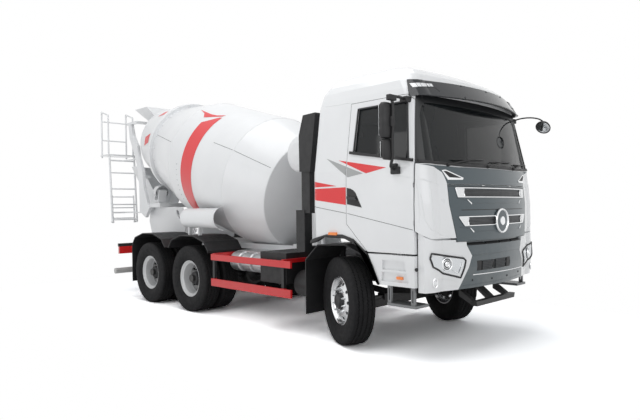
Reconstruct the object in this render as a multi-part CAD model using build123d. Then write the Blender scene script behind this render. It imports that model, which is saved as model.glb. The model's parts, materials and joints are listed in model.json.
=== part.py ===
"""Six-wheel concrete mixer truck, full size, in millimetres.

+Z up, the front faces -Y and +X is the truck's left. Lengths along the truck are first
measured from the front axle; every piece is then moved so that the origin lies on the ground
under the middle of the whole vehicle.
"""
from build123d import *
import os
from math import cos, hypot, pi, radians, sin, sqrt

os.makedirs("parts", exist_ok=True)

# ---------------------------------------------------------------- driving dimensions
FRONT_REACH = 1565          # front axle to the foremost point, the round mirror
REAR_REACH = 7440           # front axle to the rearmost point, the platform rail
ORIGIN_Y = (REAR_REACH - FRONT_REACH) / 2

WHEELBASE = 3450            # front axle to first rear axle
TANDEM = 1350               # first to second rear axle
REAR_AXLES = {"mid": WHEELBASE, "rear": WHEELBASE + TANDEM}
TYRE_R = 535
TYRE_W = 290
BEAD_R = 292                # rim flange radius
FRONT_TRACK_X = 1025        # middle of a front tyre
DUAL_OUT_X = 1090           # middle of an outer rear tyre
DUAL_SPACING = 335
HUB_R = 140
FIT = 0.3                   # running gap between turning faces
SHAFT_FIT = 0.05            # radial clearance of a bearing
CLEAR = 6                   # gap between panels that move apart

FRAME_X = 430               # outer face of a frame rail
FRAME_WALL = 10
FRAME_FLANGE = 90
FRAME_Z0, FRAME_Z1 = 700, 1000
FRAME_FRONT, FRAME_REAR = -1150, 6200
BODY_X = 1245               # half width of the cab and the guards

STEER_REST = -23.5          # degrees, wheels turned to the truck's right
KINGPIN_X = 885
KINGPIN_R = 25

TILT_Y, TILT_Z = -1250, 800  # cab tilt pivot
TILT_PIN_R = 30
CAB_FLOOR_Z = 1330
FLOOR_X = 1145               # the floor's half width between the doors
CAB_WALL = 60
DOOR_FRONT, DOOR_REAR = -1135, -160
DOOR_SILL_Z = 1170
DOOR_TOP_Z = 2880
DOOR_HINGE_X, DOOR_HINGE_Y = 1222, -1112

DRUM_TILT = 15.6            # degrees, nose down towards the cab
DRUM_Y, DRUM_Z = 1855, 1869  # centre of the drum's front edge circle
DRUM_FRONT_R = 877
DRUM_R = 1080
DRUM_BARREL = (825, 2530)   # stations where the straight barrel starts and ends
DRUM_WALL = 6
RING_T, RING_R, RING_W = 3633, 917, 90
MOUTH_T, MOUTH_R = 4450, 700
ROLLER_R, ROLLER_W = 130, 110
ROLLER_ANGLE = 33           # degrees round the ring from its lowest point
ROLLER_PIN_R = 35
SPINDLE_R = 38
EYE_R = 45                  # outer radius of the beam's kingpin eye
DIFF_R = 215                # radius of a drive axle's case
AXLE_END_R = 60
SPRING_X = 400
SPRING_W = 90

GUARD_Y0 = TYRE_R + 330      # clear of the steered wheel
GUARD_Y1 = WHEELBASE - TYRE_R - 174
GUARD_TOP = (880, 974)
GUARD_LOW = (489, 600)
GUARD_POST_W = 50
GUARD_POSTS = (GUARD_Y0 + 170, GUARD_Y1 - 3 - GUARD_POST_W)
BATTERY_Y = (1095, 1660)
TANKS_Y = BATTERY_Y[1] + 165
TANK_PITCH = (GUARD_POSTS[1] - TANKS_Y + 7) / 3
TANK_GAP = 20
FUEL_Y = (900, GUARD_POSTS[1] - 188)
GUARD_ARM = (935, 985)      # heights of the arms to the frame
MUDGUARD_WALL = 12
MUDGUARD_TOP = 1225         # inner side of a rear mudguard at its top

DOOR_WALL = 50
HINGE_R = 8                 # door hinge pin
HINGE_ZS = (1500, 1900)     # middle heights of a door's two hinges
HINGE_LUG = 34              # height of a hinge's lug
HINGE_CLEAR = 38            # radius of the hollow the door's front edge turns in
MASK_DEPTH = 45
MASK_TOP_Z = 1905
FLAP_Y, FLAP_Z = -1417, 1900  # hinge line of the front mask
MASK_GAP = 9                # gap above the mask's upper edge
FLAP_PIN_R = 3
FLAP_HINGE_X = (300, 320)   # a flap hinge's lug, inner and outer side
SCREEN_INSET = 12
GLASS = 8
MIRROR_REACH = 1525         # how far either side's mirrors stand out
MIRROR_OUT = (-945, 0)      # right-hand mirrors: along, turn in degrees
MIRROR_BACK = (-800, 30)    # the left-hand mirrors are swung part way back
MIRROR_FOOT_Y = -915
MIRROR_HEAD = (180, 88)         # width and depth of the main housing
MIRROR_WIDE = (120, 60)         # width and depth of the wide-angle housing

BUMPER_X = 1190
BUMPER_TOP, BUMPER_FOOT = 1285, 765
BUMPER_REAR = -1152
BUMPER_SLOT_X = (-480, 215)     # the cooling slot lies towards the right
LEDGE_Z = 1243              # top of the bumper's grey middle
CORNER_LINE = [(-1600, 1300), (-1300, 1320), (-1125, 1430)]  # the cab's lower front edge from the side
PANEL_GAP = 8               # visible gap between the cab's front and the bumper
SEAM = 0.3                  # seam between fixed panels
UNDERRUN_Z = (545, 600)
TOW_PIN_R = 25

GEARBOX_R = 190
HEAD_DISH = 160             # how far the drum's head stands out of its front edge
HEAD_HUB_R = 260
STUB_R, STUB_LONG = 80, 120  # the drum's shaft in its gearbox
WATER_X, WATER_Y = 785, 1265  # water tank: half length and place along the truck
SUB_Z = FRAME_Z1
SUB_H = 90

LADDER_X = (-950, -420)
LADDER_FOOT, LADDER_HEAD = (6950, 1400), (7050, 2815)
LADDER_GAP = 45             # folding section behind the fixed one
LADDER_PIN_R = 8
PLATFORM_Y1 = 7420
PLATE_Z = (2800, 2830)      # under and upper side of the step plate
HOOP_SET = 40               # front hoop posts behind the ladder's rails
STRUT_ZS = (1600, 2700)     # heights of the struts to the rear arm

HOPPER_WALL = 8
ARM_TOP_Z = 3420            # head of the curved arms beside the mouth
PANEL_X = 552               # outer face of the pedestal's side panels
PANEL_WALL = 12

CHUTE_Y, CHUTE_Z = 6620, 1380   # slewing post and tilt pin
CHUTE_R = 230
CHUTE_WALL = 5
CHUTE_START, CHUTE_END = -180, 970  # the main trough's ends from the post
CHUTE_RAISE = 270           # trough's middle line above the tilt pin
CHUTE_TIP = 700
CHUTE_TURN = 60             # degrees, stowed towards the truck's left
CHUTE_DROP = 30             # degrees below level
CHUTE_PIN_R = 14
POST_R = 55
TIP_PIN_R = 8
SPARE_PLACE = (-1060, 2790, 1515)   # the stored trough's middle line and front end
SPARE_LONG, SPARE_R = 910, 160
SPARE_FLARE = (26, 130)     # how far its mouth widens, over what length


# ---------------------------------------------------------------- small helpers
def box(x0, x1, y0, y1, z0, z1):
    """A block between two corners."""
    middle = Pos((x0 + x1) / 2, (y0 + y1) / 2, (z0 + z1) / 2)
    return middle * Box(abs(x1 - x0), abs(y1 - y0), abs(z1 - z0))


def side_prism(points, x0, x1):
    """A side outline of (y, z) points, pushed from x0 to x1."""
    face = Face(Wire.make_polygon([Vector(x0, y, z) for y, z in points]))
    return extrude(face, amount=x1 - x0, dir=(1, 0, 0))


def front_prism(points, y0, y1):
    """A front outline of (x, z) points, pushed from y0 to y1."""
    face = Face(Wire.make_polygon([Vector(x, y0, z) for x, z in points]))
    return extrude(face, amount=y1 - y0, dir=(0, 1, 0))


def plan_prism(points, z0, z1):
    """A plan outline of (x, y) points, pushed from z0 to z1."""
    face = Face(Wire.make_polygon([Vector(x, y, z0) for x, y in points]))
    return extrude(face, amount=z1 - z0, dir=(0, 0, 1))


def rod(start, end, radius):
    """A round bar between two points."""
    start, end = Vector(*start), Vector(*end)
    along = end - start
    align = (Align.CENTER, Align.CENTER, Align.MIN)
    return Plane(origin=start, z_dir=along) * Cylinder(radius, along.length, align=align)


def bar(start, end, width, depth, up=(0, 0, 1)):
    """A rectangular bar between two points; depth lies nearest the up direction."""
    start, end = Vector(*start), Vector(*end)
    along = end - start
    plane = Plane(origin=start, x_dir=along.cross(Vector(*up)), z_dir=along)
    align = (Align.CENTER, Align.CENTER, Align.MIN)
    return plane * Box(width, depth, along.length, align=align)


def rail(points, radius):
    """A bent round tube: straight runs with a ball at each corner."""
    shape = None
    for start, end in zip(points, points[1:]):
        run = rod(start, end, radius)
        shape = run if shape is None else shape + run
        shape += Pos(*end) * Sphere(radius * 1.05)
    return shape


def ring_x(x0, x1, outer, inner):
    """A ring round the X axis."""
    align = (Align.CENTER, Align.CENTER, Align.MIN)
    body = Cylinder(outer, x1 - x0, align=align)
    if inner:
        body -= Cylinder(inner, x1 - x0, align=align)
    return Pos(x0, 0, 0) * Rot(0, 90, 0) * body


def mirrored(shape):
    """The same shape on the other side of the truck."""
    return mirror(shape, about=Plane.YZ)




def turned(profile_points, degrees_round=360):
    """A ring turned about the Z axis from (radius, height) points."""
    face = Face(Wire.make_polygon([Vector(r, 0, z) for r, z in profile_points]))
    return revolve(face, Axis.Z, degrees_round)


def save(name, *shapes):
    """Write a node's solids, moved to the shared origin."""
    solids = []
    for shape in shapes:
        for item in shape if isinstance(shape, (list, tuple)) else [shape]:
            solids += item.solids()
    whole = Compound(children=[Pos(0, -ORIGIN_Y, 0) * solid for solid in solids])
    export_step(whole, f"parts/{name}.step")


# ---------------------------------------------------------------- wheels
def tyre(width=TYRE_W):
    """A tyre turned about X: flat tread, rounded shoulders, beads on the rim."""
    half = width / 2
    # radius, half width of the tyre at that radius
    rows = [(BEAD_R, 0.72), (BEAD_R + 60, 0.92), (430, 1.0), (500, 0.96), (TYRE_R - 6, 0.86), (TYRE_R, 0.78)]
    right = [(r, half * share) for r, share in rows]
    left = [(r, -half * share) for r, share in reversed(rows)]
    return Rot(0, 90, 0) * turned(right + left)


def rim_front():
    """A front wheel: flat disc near the outer face, drop centre inside."""
    half = TYRE_W * 0.36
    # radius, place across the wheel; the outer face is positive
    profile = [(BEAD_R - FIT, half), (BEAD_R - 20, half), (BEAD_R - 40, half - 35), (HUB_R + 40, half - 20)]
    profile += [(HUB_R - 30, half - 10), (KINGPIN_R + 35, half - 10), (KINGPIN_R + 35, half - 30)]
    profile += [(HUB_R + 40, half - 38), (BEAD_R - 58, half - 53), (BEAD_R - 32, -half), (BEAD_R - FIT, -half)]
    return Rot(0, 90, 0) * turned(profile)


def front_hub():
    """Hub cap and spindle barrel in the middle of a front wheel."""
    half = TYRE_W * 0.36
    cap = ring_x(half - 30, half + 30, HUB_R - 30, 0)
    barrel = ring_x(half - 150, half - 30, HUB_R - 45, SPINDLE_R + SHAFT_FIT)
    return cap + barrel


def rear_rims():
    """Twin wheels with deep dishes on one hub, for the right-hand side; outer face at -X."""
    half = TYRE_W * 0.36
    shape = None
    for middle, face in ((-DUAL_SPACING / 2, 1), (DUAL_SPACING / 2, -1)):
        # radius, place across the wheel, deep side first
        profile = [(BEAD_R - FIT, -half), (BEAD_R - 20, -half), (BEAD_R - 40, -half + 30)]
        profile += [(BEAD_R - 46, half - 6), (HUB_R + 30, half + 20), (HUB_R - 20, half + 20)]
        profile += [(HUB_R - 20, half + 32), (HUB_R + 34, half + 32), (BEAD_R - 34, half + 6)]
        profile += [(BEAD_R - 30, half), (BEAD_R - FIT, half)]
        profile = [(r, z * face) for r, z in profile]
        wheel = Pos(middle, 0, 0) * Rot(0, 90, 0) * turned(profile)
        shape = wheel if shape is None else shape + wheel
    hub = ring_x(-DUAL_SPACING / 2 - half + 10, DUAL_SPACING / 2 + 40, HUB_R - 15, AXLE_END_R + SHAFT_FIT)
    cap = ring_x(-DUAL_SPACING / 2 - half - 30, -DUAL_SPACING / 2 - half + 10, HUB_R - 40, 0)
    return shape + hub + cap


def make_wheels():
    """Front wheels turned with the steering, twin rear wheels on both axles."""
    for side, sign in (("right", -1), ("left", 1)):
        turn = Rot(0, 0, STEER_REST)
        place = Pos(sign * KINGPIN_X, 0, TYRE_R) * turn * Pos(sign * (FRONT_TRACK_X - KINGPIN_X), 0, 0)
        face = Rot(0, 0, 180) if sign < 0 else Rot(0, 0, 0)
        save(f"tyre_front_{side}", place * tyre())
        save(f"rim_front_{side}", place * face * (rim_front() + front_hub()))
        for name, axle_y in REAR_AXLES.items():
            centre = Pos(sign * (DUAL_OUT_X - DUAL_SPACING / 2), axle_y, TYRE_R)
            flip = Rot(0, 0, 0) if sign < 0 else Rot(0, 0, 180)
            tyres = [Pos(shift, 0, 0) * tyre() for shift in (-DUAL_SPACING / 2, DUAL_SPACING / 2)]
            save(f"tyres_{name}_{side}", [centre * one for one in tyres])
            save(f"rims_{name}_{side}", centre * flip * rear_rims())


def make_knuckles():
    """Steering knuckle: kingpin eyes above and below the beam end, spindle and brake drum."""
    for side, sign in (("right", -1), ("left", 1)):
        pin = rod((0, 0, -150), (0, 0, 150), KINGPIN_R)
        ears = rod((0, 0, 62), (0, 0, 105), 50) + rod((0, 0, -105), (0, 0, -62), 50)
        web = box(0, 85, -50, 50, -105, 105) - rod((0, 0, -62), (0, 0, 62), EYE_R + 10)
        web -= box(-60, 45, -60, 60, -62, 62)
        flange_x = FRONT_TRACK_X - KINGPIN_X - 80
        spindle = ring_x(60, FRONT_TRACK_X - KINGPIN_X + TYRE_W * 0.36 - 35, SPINDLE_R, 0)
        drum = ring_x(flange_x + 5, flange_x + 25, 190, 0)
        arm = box(-30, 70, 50, 210, -100, -70)
        body = pin + ears + web + spindle + drum + arm
        body = body if sign > 0 else Rot(0, 0, 180) * mirror(body, about=Plane.XZ)
        save(f"knuckle_{side}", Pos(sign * KINGPIN_X, 0, TYRE_R) * Rot(0, 0, STEER_REST) * body)


# ---------------------------------------------------------------- chassis
def make_frame():
    """Two channel rails joined by cross members."""
    rails = []
    for sign in (-1, 1):
        web = box(sign * FRAME_X, sign * (FRAME_X - FRAME_WALL), FRAME_FRONT, FRAME_REAR, FRAME_Z0, FRAME_Z1)
        for z in (FRAME_Z0, FRAME_Z1 - FRAME_WALL):
            web += box(sign * FRAME_X, sign * (FRAME_X - FRAME_FLANGE), FRAME_FRONT, FRAME_REAR, z,
                       z + FRAME_WALL)
        rails.append(web)
    frame = rails[0] + rails[1]
    reach = FRAME_X - FRAME_WALL
    # place along the truck, length along the truck, lowest and highest point
    members = [(-1150, 60, 720, 880), (1300, 50, 850, 960), (2600, 50, 740, 960), (4125, 260, 740, 960),
               (5300, 50, 740, 960), (6150, 50, 740, 960)]
    for y, long, low, high in members:
        frame += box(-reach, reach, y, y + long, low, high)
    for sign in (-1, 1):
        ear = box(sign * 330, sign * 420, TILT_Y, FRAME_FRONT + 40, TILT_Z - 55, TILT_Z + 55)
        ear += ring_at(sign * 330, sign * 420, TILT_Y, TILT_Z, 55)
        frame += ear
    for sign in (-1, 1):
        frame -= ring_at(sign * 320, sign * 430, TILT_Y, TILT_Z, TILT_PIN_R + SHAFT_FIT)
    save("frame_rails", frame)


def ring_at(x0, x1, y, z, radius):
    """A round bar along X at a place in the side view."""
    return rod((x0, y, z), (x1, y, z), radius)


def make_axles():
    """Front beam with dropped middle, two drive axles with round cases."""
    beam = box(-KINGPIN_X, KINGPIN_X, -35, 35, TYRE_R - 60, TYRE_R + 60)
    for sign in (-1, 1):
        beam += rod((sign * KINGPIN_X, 0, TYRE_R - 60), (sign * KINGPIN_X, 0, TYRE_R + 60), EYE_R)
    beam -= box(-KINGPIN_X + 70, KINGPIN_X - 70, -60, 60, TYRE_R + 0, TYRE_R + 80)
    beam += box(-KINGPIN_X + 150, KINGPIN_X - 150, -45, 45, TYRE_R - 140, TYRE_R - 40)
    for sign in (-1, 1):
        beam += box(sign * (KINGPIN_X - 160), sign * (KINGPIN_X - 85), -35, 35, TYRE_R - 100, TYRE_R - 30)
        beam += box(sign * (SPRING_X - 50), sign * (SPRING_X + 50), -60, 60, TYRE_R - 60, TYRE_R + 20)
        beam -= rod((sign * KINGPIN_X, 0, TYRE_R - 80), (sign * KINGPIN_X, 0, TYRE_R + 80),
                    KINGPIN_R + SHAFT_FIT)
    axles = [beam]
    inner_face = DUAL_OUT_X - DUAL_SPACING - TYRE_W / 2
    end = DUAL_OUT_X + TYRE_W * 0.36 - 22
    for axle_y in REAR_AXLES.values():
        case = ring_x(-inner_face - 60, inner_face + 60, 75, 0)
        case += ring_x(-end, end, AXLE_END_R, 0)
        case += rod((0, -150, 0), (0, 170, 0), 200) + Sphere(DIFF_R)
        for sign in (-1, 1):
            case += box(sign * (SPRING_X - 60), sign * (SPRING_X + 60), -70, 70, 40, 95)
        axles.append(Pos(0, axle_y, TYRE_R) * case)
    save("axles", axles)


def make_springs():
    """Leaf packs: one each side over the front beam, one each side across the tandem."""
    solids = []
    for sign in (-1, 1):
        x0, x1 = sign * (SPRING_X - SPRING_W / 2), sign * (SPRING_X + SPRING_W / 2)
        seat = TYRE_R + 20
        front = side_prism([(-820, 640), (-800, 700), (0, seat + 60), (800, 700), (820, 640), (0, seat)],
                           x0, x1)
        solids.append(front)
        middle = WHEELBASE + TANDEM / 2
        half = TANDEM / 2
        top = TYRE_R + 95
        rear = side_prism([(middle - half - 120, top), (middle + half + 120, top),
                           (middle + half + 120, top + 25),
                           (middle + 80, top + 60), (middle - 80, top + 60), (middle - half - 120, top + 25)],
                          x0, x1)
        solids.append(rear)
    save("leaf_springs", solids)


def make_powertrain():
    """One plain engine block; gearbox, propeller shafts."""
    engine = box(-330, 330, -620, 560, 760, 1240)
    engine += box(-FRAME_X + FRAME_WALL, FRAME_X - FRAME_WALL, -200, -80, 800, 900)
    gearbox = front_prism([(-230, 660), (230, 660), (230, 1000), (120, 1080), (-120, 1080), (-230, 1000)],
                          560, 890)
    gearbox += rod((0, 885, 800), (0, 960, 800), 110)
    shaft = rod((0, 960, 800), (0, WHEELBASE - DIFF_R - 15, TYRE_R), 55)
    shaft += rod((0, WHEELBASE - DIFF_R - 60, TYRE_R), (0, WHEELBASE - DIFF_R - FIT, TYRE_R), 60)
    link = rod((0, WHEELBASE + DIFF_R + FIT, TYRE_R), (0, WHEELBASE + TANDEM - DIFF_R - FIT, TYRE_R), 50)
    save("powertrain", engine + gearbox + shaft, link)


def make_tanks():
    """Air tanks, battery box and silencer on the right, fuel tank on the left."""
    tanks = []
    for number in range(3):
        y0 = TANKS_Y + number * TANK_PITCH
        tanks.append(domed_tank((-820, y0, 850), 150, TANK_PITCH - TANK_GAP, 35))
    hanger = box(-830, -FRAME_X, TANKS_Y + 40, TANKS_Y + 3 * TANK_PITCH - 60, 985, 1010)
    save("battery_box", box(-1120, -FRAME_X, *BATTERY_Y, 640, 1060))
    align = (Align.CENTER, Align.CENTER, Align.CENTER)
    muffler = Pos(-850, 860, 640) * Rot(90, 0, 0) * Cylinder(180, 370, align=align)
    muffler += box(-700, -FRAME_X, 820, 900, 720, 800)
    save("silencer", muffler)
    fuel = box(FRAME_X + 20, 1130, *FUEL_Y, 520, 925)
    fuel = fillet(fuel.edges().filter_by(Axis.Y), 90)
    straps = [box(FRAME_X, FRAME_X + 20, y, y + 60, 600, 900) for y in (FUEL_Y[0] + 250, FUEL_Y[1] - 350)]
    save("tanks", tanks, hanger, fuel + straps[0] + straps[1])


def domed_tank(start, radius, length, dome):
    """A round tank along +Y from a start point, with domed ends."""
    x, y, z = start
    profile = [(0, 0), (radius * 0.6, dome * 0.25), (radius * 0.9, dome * 0.65), (radius, dome)]
    profile += [(r, length - t) for r, t in reversed(profile)]
    return Pos(x, y, z) * Rot(-90, 0, 0) * turned(profile)


def make_guards():
    """Side guard rails with uprights and arms to the frame."""
    solids = []
    for sign in (-1, 1):
        outer, inner = sign * BODY_X, sign * (BODY_X - 30)
        guard = box(outer, inner, GUARD_Y0, GUARD_Y1, *GUARD_TOP)
        guard += box(outer, inner, GUARD_Y0, GUARD_Y1, *GUARD_LOW)
        for y in GUARD_POSTS:
            guard += box(inner, sign * (BODY_X - 70), y, y + GUARD_POST_W, GUARD_LOW[0], GUARD_ARM[1])
            guard += box(inner, sign * FRAME_X, y, y + GUARD_POST_W, *GUARD_ARM)
        solids.append(guard)
    save("side_guards", solids)


def arch_points(middle, radius_y, top, low, count=5):
    """The inner line of a mudguard: straight sides and a rounded top, as (y, z)."""
    points = [(middle - radius_y, low)]
    rise = 220
    for step in range(count + 1):
        angle = pi - pi * step / count
        height = rise * sin(angle) / sin(2 * pi / count)
        points.append((middle + radius_y * cos(angle), top - rise + height))
    points.append((middle + radius_y, low))
    return points


def arch(middle, radius_y, top, low_front, low_rear, x0, x1):
    """A mudguard sheet bent over a wheel."""
    outer = arch_points(middle, radius_y + MUDGUARD_WALL, top + MUDGUARD_WALL, 0)
    inner = arch_points(middle, radius_y, top, 0)
    outer[0], outer[-1] = (outer[0][0], low_front), (outer[-1][0], low_rear)
    inner[0], inner[-1] = (inner[0][0], low_front), (inner[-1][0], low_rear)
    return side_prism(outer + inner[::-1], x0, x1)


def make_mudguards():
    """Arches over the steered wheels and the tandem, with their flaps."""
    front, rear = [], []
    for sign in (-1, 1):
        x0, x1 = sign * (FRAME_X + 150), sign * (BODY_X - 70)
        liner = side_prism([(650, 310), (650, 1010), (420, 1210), (-60, 1230), (-440, 1090), (-650, 820),
                            (-638, 812), (-432, 1078), (-58, 1218), (414, 1198), (638, 1004), (638, 310)],
                            x0, x1)
        liner += box(x0, sign * FRAME_X, 500, 560, FRAME_Z1 - 60, FRAME_Z1)
        liner += box(x0, sign * (FRAME_X + 190), 500, 560, FRAME_Z1 - 60, 1150)
        front.append(liner)
        x0, x1 = sign * (DUAL_OUT_X - DUAL_SPACING - TYRE_W / 2), sign * BODY_X
        for index, axle_y in enumerate(REAR_AXLES.values()):
            guard = arch(axle_y, 610, MUDGUARD_TOP, 980 if index == 0 else 1010, 1010 if index == 0 else 330,
                         x0, x1)
            post_x = sign * (FRAME_X + 130)
            guard += box(sign * FRAME_X, post_x, axle_y - 30, axle_y + 30, 935, 985)
            guard += box(post_x, post_x + sign * 30, axle_y - 30, axle_y + 30, 935, MUDGUARD_TOP)
            guard += box(post_x, x0 + sign * 90, axle_y - 30, axle_y + 30, MUDGUARD_TOP - 30, MUDGUARD_TOP + 1)
            rear.append(guard)
    save("mudguards", front, rear)


def make_rear_end():
    """Rear underrun bar and lamp brackets; gives back the lamps."""
    bar_y = 6300
    under = rod((-1190, bar_y, 450), (1190, bar_y, 450), 55)
    for sign in (-1, 1):
        under += box(sign * FRAME_X, sign * (FRAME_X - 60), bar_y - 40, bar_y + 20, 450, 1000)
        under += box(sign * (FRAME_X + 40), sign * (FRAME_X - 60), FRAME_REAR, bar_y + 20, 900, 1000)
        under += box(sign * FRAME_X, sign * 1200, FRAME_REAR - 110, FRAME_REAR - 60, 940, 1000)
        under += box(sign * FRAME_X, sign * (FRAME_X + 40), FRAME_REAR - 110, FRAME_REAR + 40, 900, 1000)
    for sign in (-1, 1):
        under += box(sign * 85, sign * 170, bar_y - 40, CHUTE_Y + 40, 880, 1000)
        under += box(sign * FRAME_X, sign * 85, bar_y - 40, bar_y + 20, 880, 1000)
    under += rod((0, CHUTE_Y, 880), (0, CHUTE_Y, 1010 - FIT), POST_R + 45)
    under -= rod((0, CHUTE_Y, 870), (0, CHUTE_Y, 1020), POST_R + SHAFT_FIT)
    save("rear_underrun", under)
    return [box(sign * 800, sign * 1190, FRAME_REAR - 110, FRAME_REAR - 60, 800, 940) for sign in (-1, 1)]


# ---------------------------------------------------------------- front end
# height, half width, middle of the front, where the corner starts, its depth, where the side starts, rear
CAB_SECTIONS = [
    (1150, 1235, -1460, 1000, -1300, -1120, 430),
    (1300, 1240, -1467, 1000, -1305, -1120, 430),
    (1700, 1245, -1450, 1000, -1295, -1120, 430),
    (2100, 1245, -1400, 1010, -1250, -1100, 430),
    (2870, 1150, -1200, 990, -1080, -960, 420),
    (2960, 1132, -1175, 960, -1062, -925, 408),
    (3060, 1105, -1140, 900, -1030, -860, 380),
    (3140, 1062, -1070, 850, -985, -790, 330),
    (3210, 1000, -960, 790, -900, -700, 255),
    (3260, 910, -850, 700, -790, -610, 165),
    (3295, 780, -700, 600, -650, -500, 40),
]


def plan_face(row, inset=0):
    """A cab's plan at one height: bowed front, round front and rear corners."""
    z, half, front, turn_x, turn_y, side_y, rear = row
    half, front, turn_y, rear = half - inset, front + inset, turn_y + inset, rear - inset
    turn_x -= inset * 0.4
    rear_r = 90 - inset * 0.5
    share = 1 - sqrt(0.5)
    edges = []
    corner = (half - share * (half - turn_x), turn_y + share * (side_y - turn_y))
    back = (half - share * rear_r, rear - share * rear_r)
    edges.append(ThreePointArc((turn_x, turn_y, z), (0, front, z), (-turn_x, turn_y, z)))
    edges.append(ThreePointArc((-turn_x, turn_y, z), (-corner[0], corner[1], z), (-half, side_y, z)))
    edges.append(Line((-half, side_y, z), (-half, rear - rear_r, z)))
    edges.append(ThreePointArc((-half, rear - rear_r, z), (-back[0], back[1], z), (-half + rear_r, rear, z)))
    edges.append(Line((-half + rear_r, rear, z), (half - rear_r, rear, z)))
    edges.append(ThreePointArc((half - rear_r, rear, z), (back[0], back[1], z), (half, rear - rear_r, z)))
    edges.append(Line((half, rear - rear_r, z), (half, side_y, z)))
    edges.append(ThreePointArc((half, side_y, z), (corner[0], corner[1], z), (turn_x, turn_y, z)))
    return Face(Wire(edges))


def cab_loft(inset=0, drop=0):
    """The cab's outer form, or the same form drawn in by a wall."""
    faces = [Pos(0, 0, -drop if row is CAB_SECTIONS[-1] else 0) * plan_face(row, inset) for row in CAB_SECTIONS]
    return loft(faces, ruled=True)


DOOR_OUTLINE = [(DOOR_FRONT, DOOR_SILL_Z), (-480, DOOR_SILL_Z), (DOOR_REAR, 1480), (DOOR_REAR - 15, DOOR_TOP_Z),
                (-990, DOOR_TOP_Z), (-1060, DOOR_TOP_Z - 60), (DOOR_FRONT, 2180)]
WINDOW_OUTLINE = [(-1075, 2165), (-262, 2290), (-290, 2805), (-1000, 2805)]
MASK_OUTLINE = [(772, 1290), (869, 1700), (869, MASK_TOP_Z)]
COWL_OUTLINE = [(875, MASK_TOP_Z + MASK_GAP), (884, 1948), (903, 1991), (928, 2036), (1020, 2088),
                (1215, 2120), (700, 2098)]
SCREEN_OUTLINE = [(600, 2133), (1137, 2160), (1075, 2800)]


def offset_outline(points, gap):
    """An outline grown by a gap, corner by corner; the points run anticlockwise or clockwise."""
    area = sum(a[0] * b[1] - b[0] * a[1] for a, b in zip(points, points[1:] + points[:1]))
    turn = 1 if area > 0 else -1
    grown = []
    for before, here, after in zip(points[-1:] + points[:-1], points, points[1:] + points[:1]):
        sides = []
        for a, b in ((before, here), (here, after)):
            dy, dz = b[0] - a[0], b[1] - a[1]
            size = hypot(dy, dz)
            sides.append((turn * dz / size, -turn * dy / size))
        mid = (sides[0][0] + sides[1][0], sides[0][1] + sides[1][1])
        scale = gap * 2 / (mid[0] ** 2 + mid[1] ** 2)
        grown.append((here[0] + mid[0] * scale, here[1] + mid[1] * scale))
    return grown


VISOR_SIDE = [(-1600, 2790), (-1005, 2790), (-1012, 2857), (-950, 3070), (-1600, 3110)]


def symmetric(points):
    """A front outline from its left half."""
    return points + [(-x, z) for x, z in reversed(points)]


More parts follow.
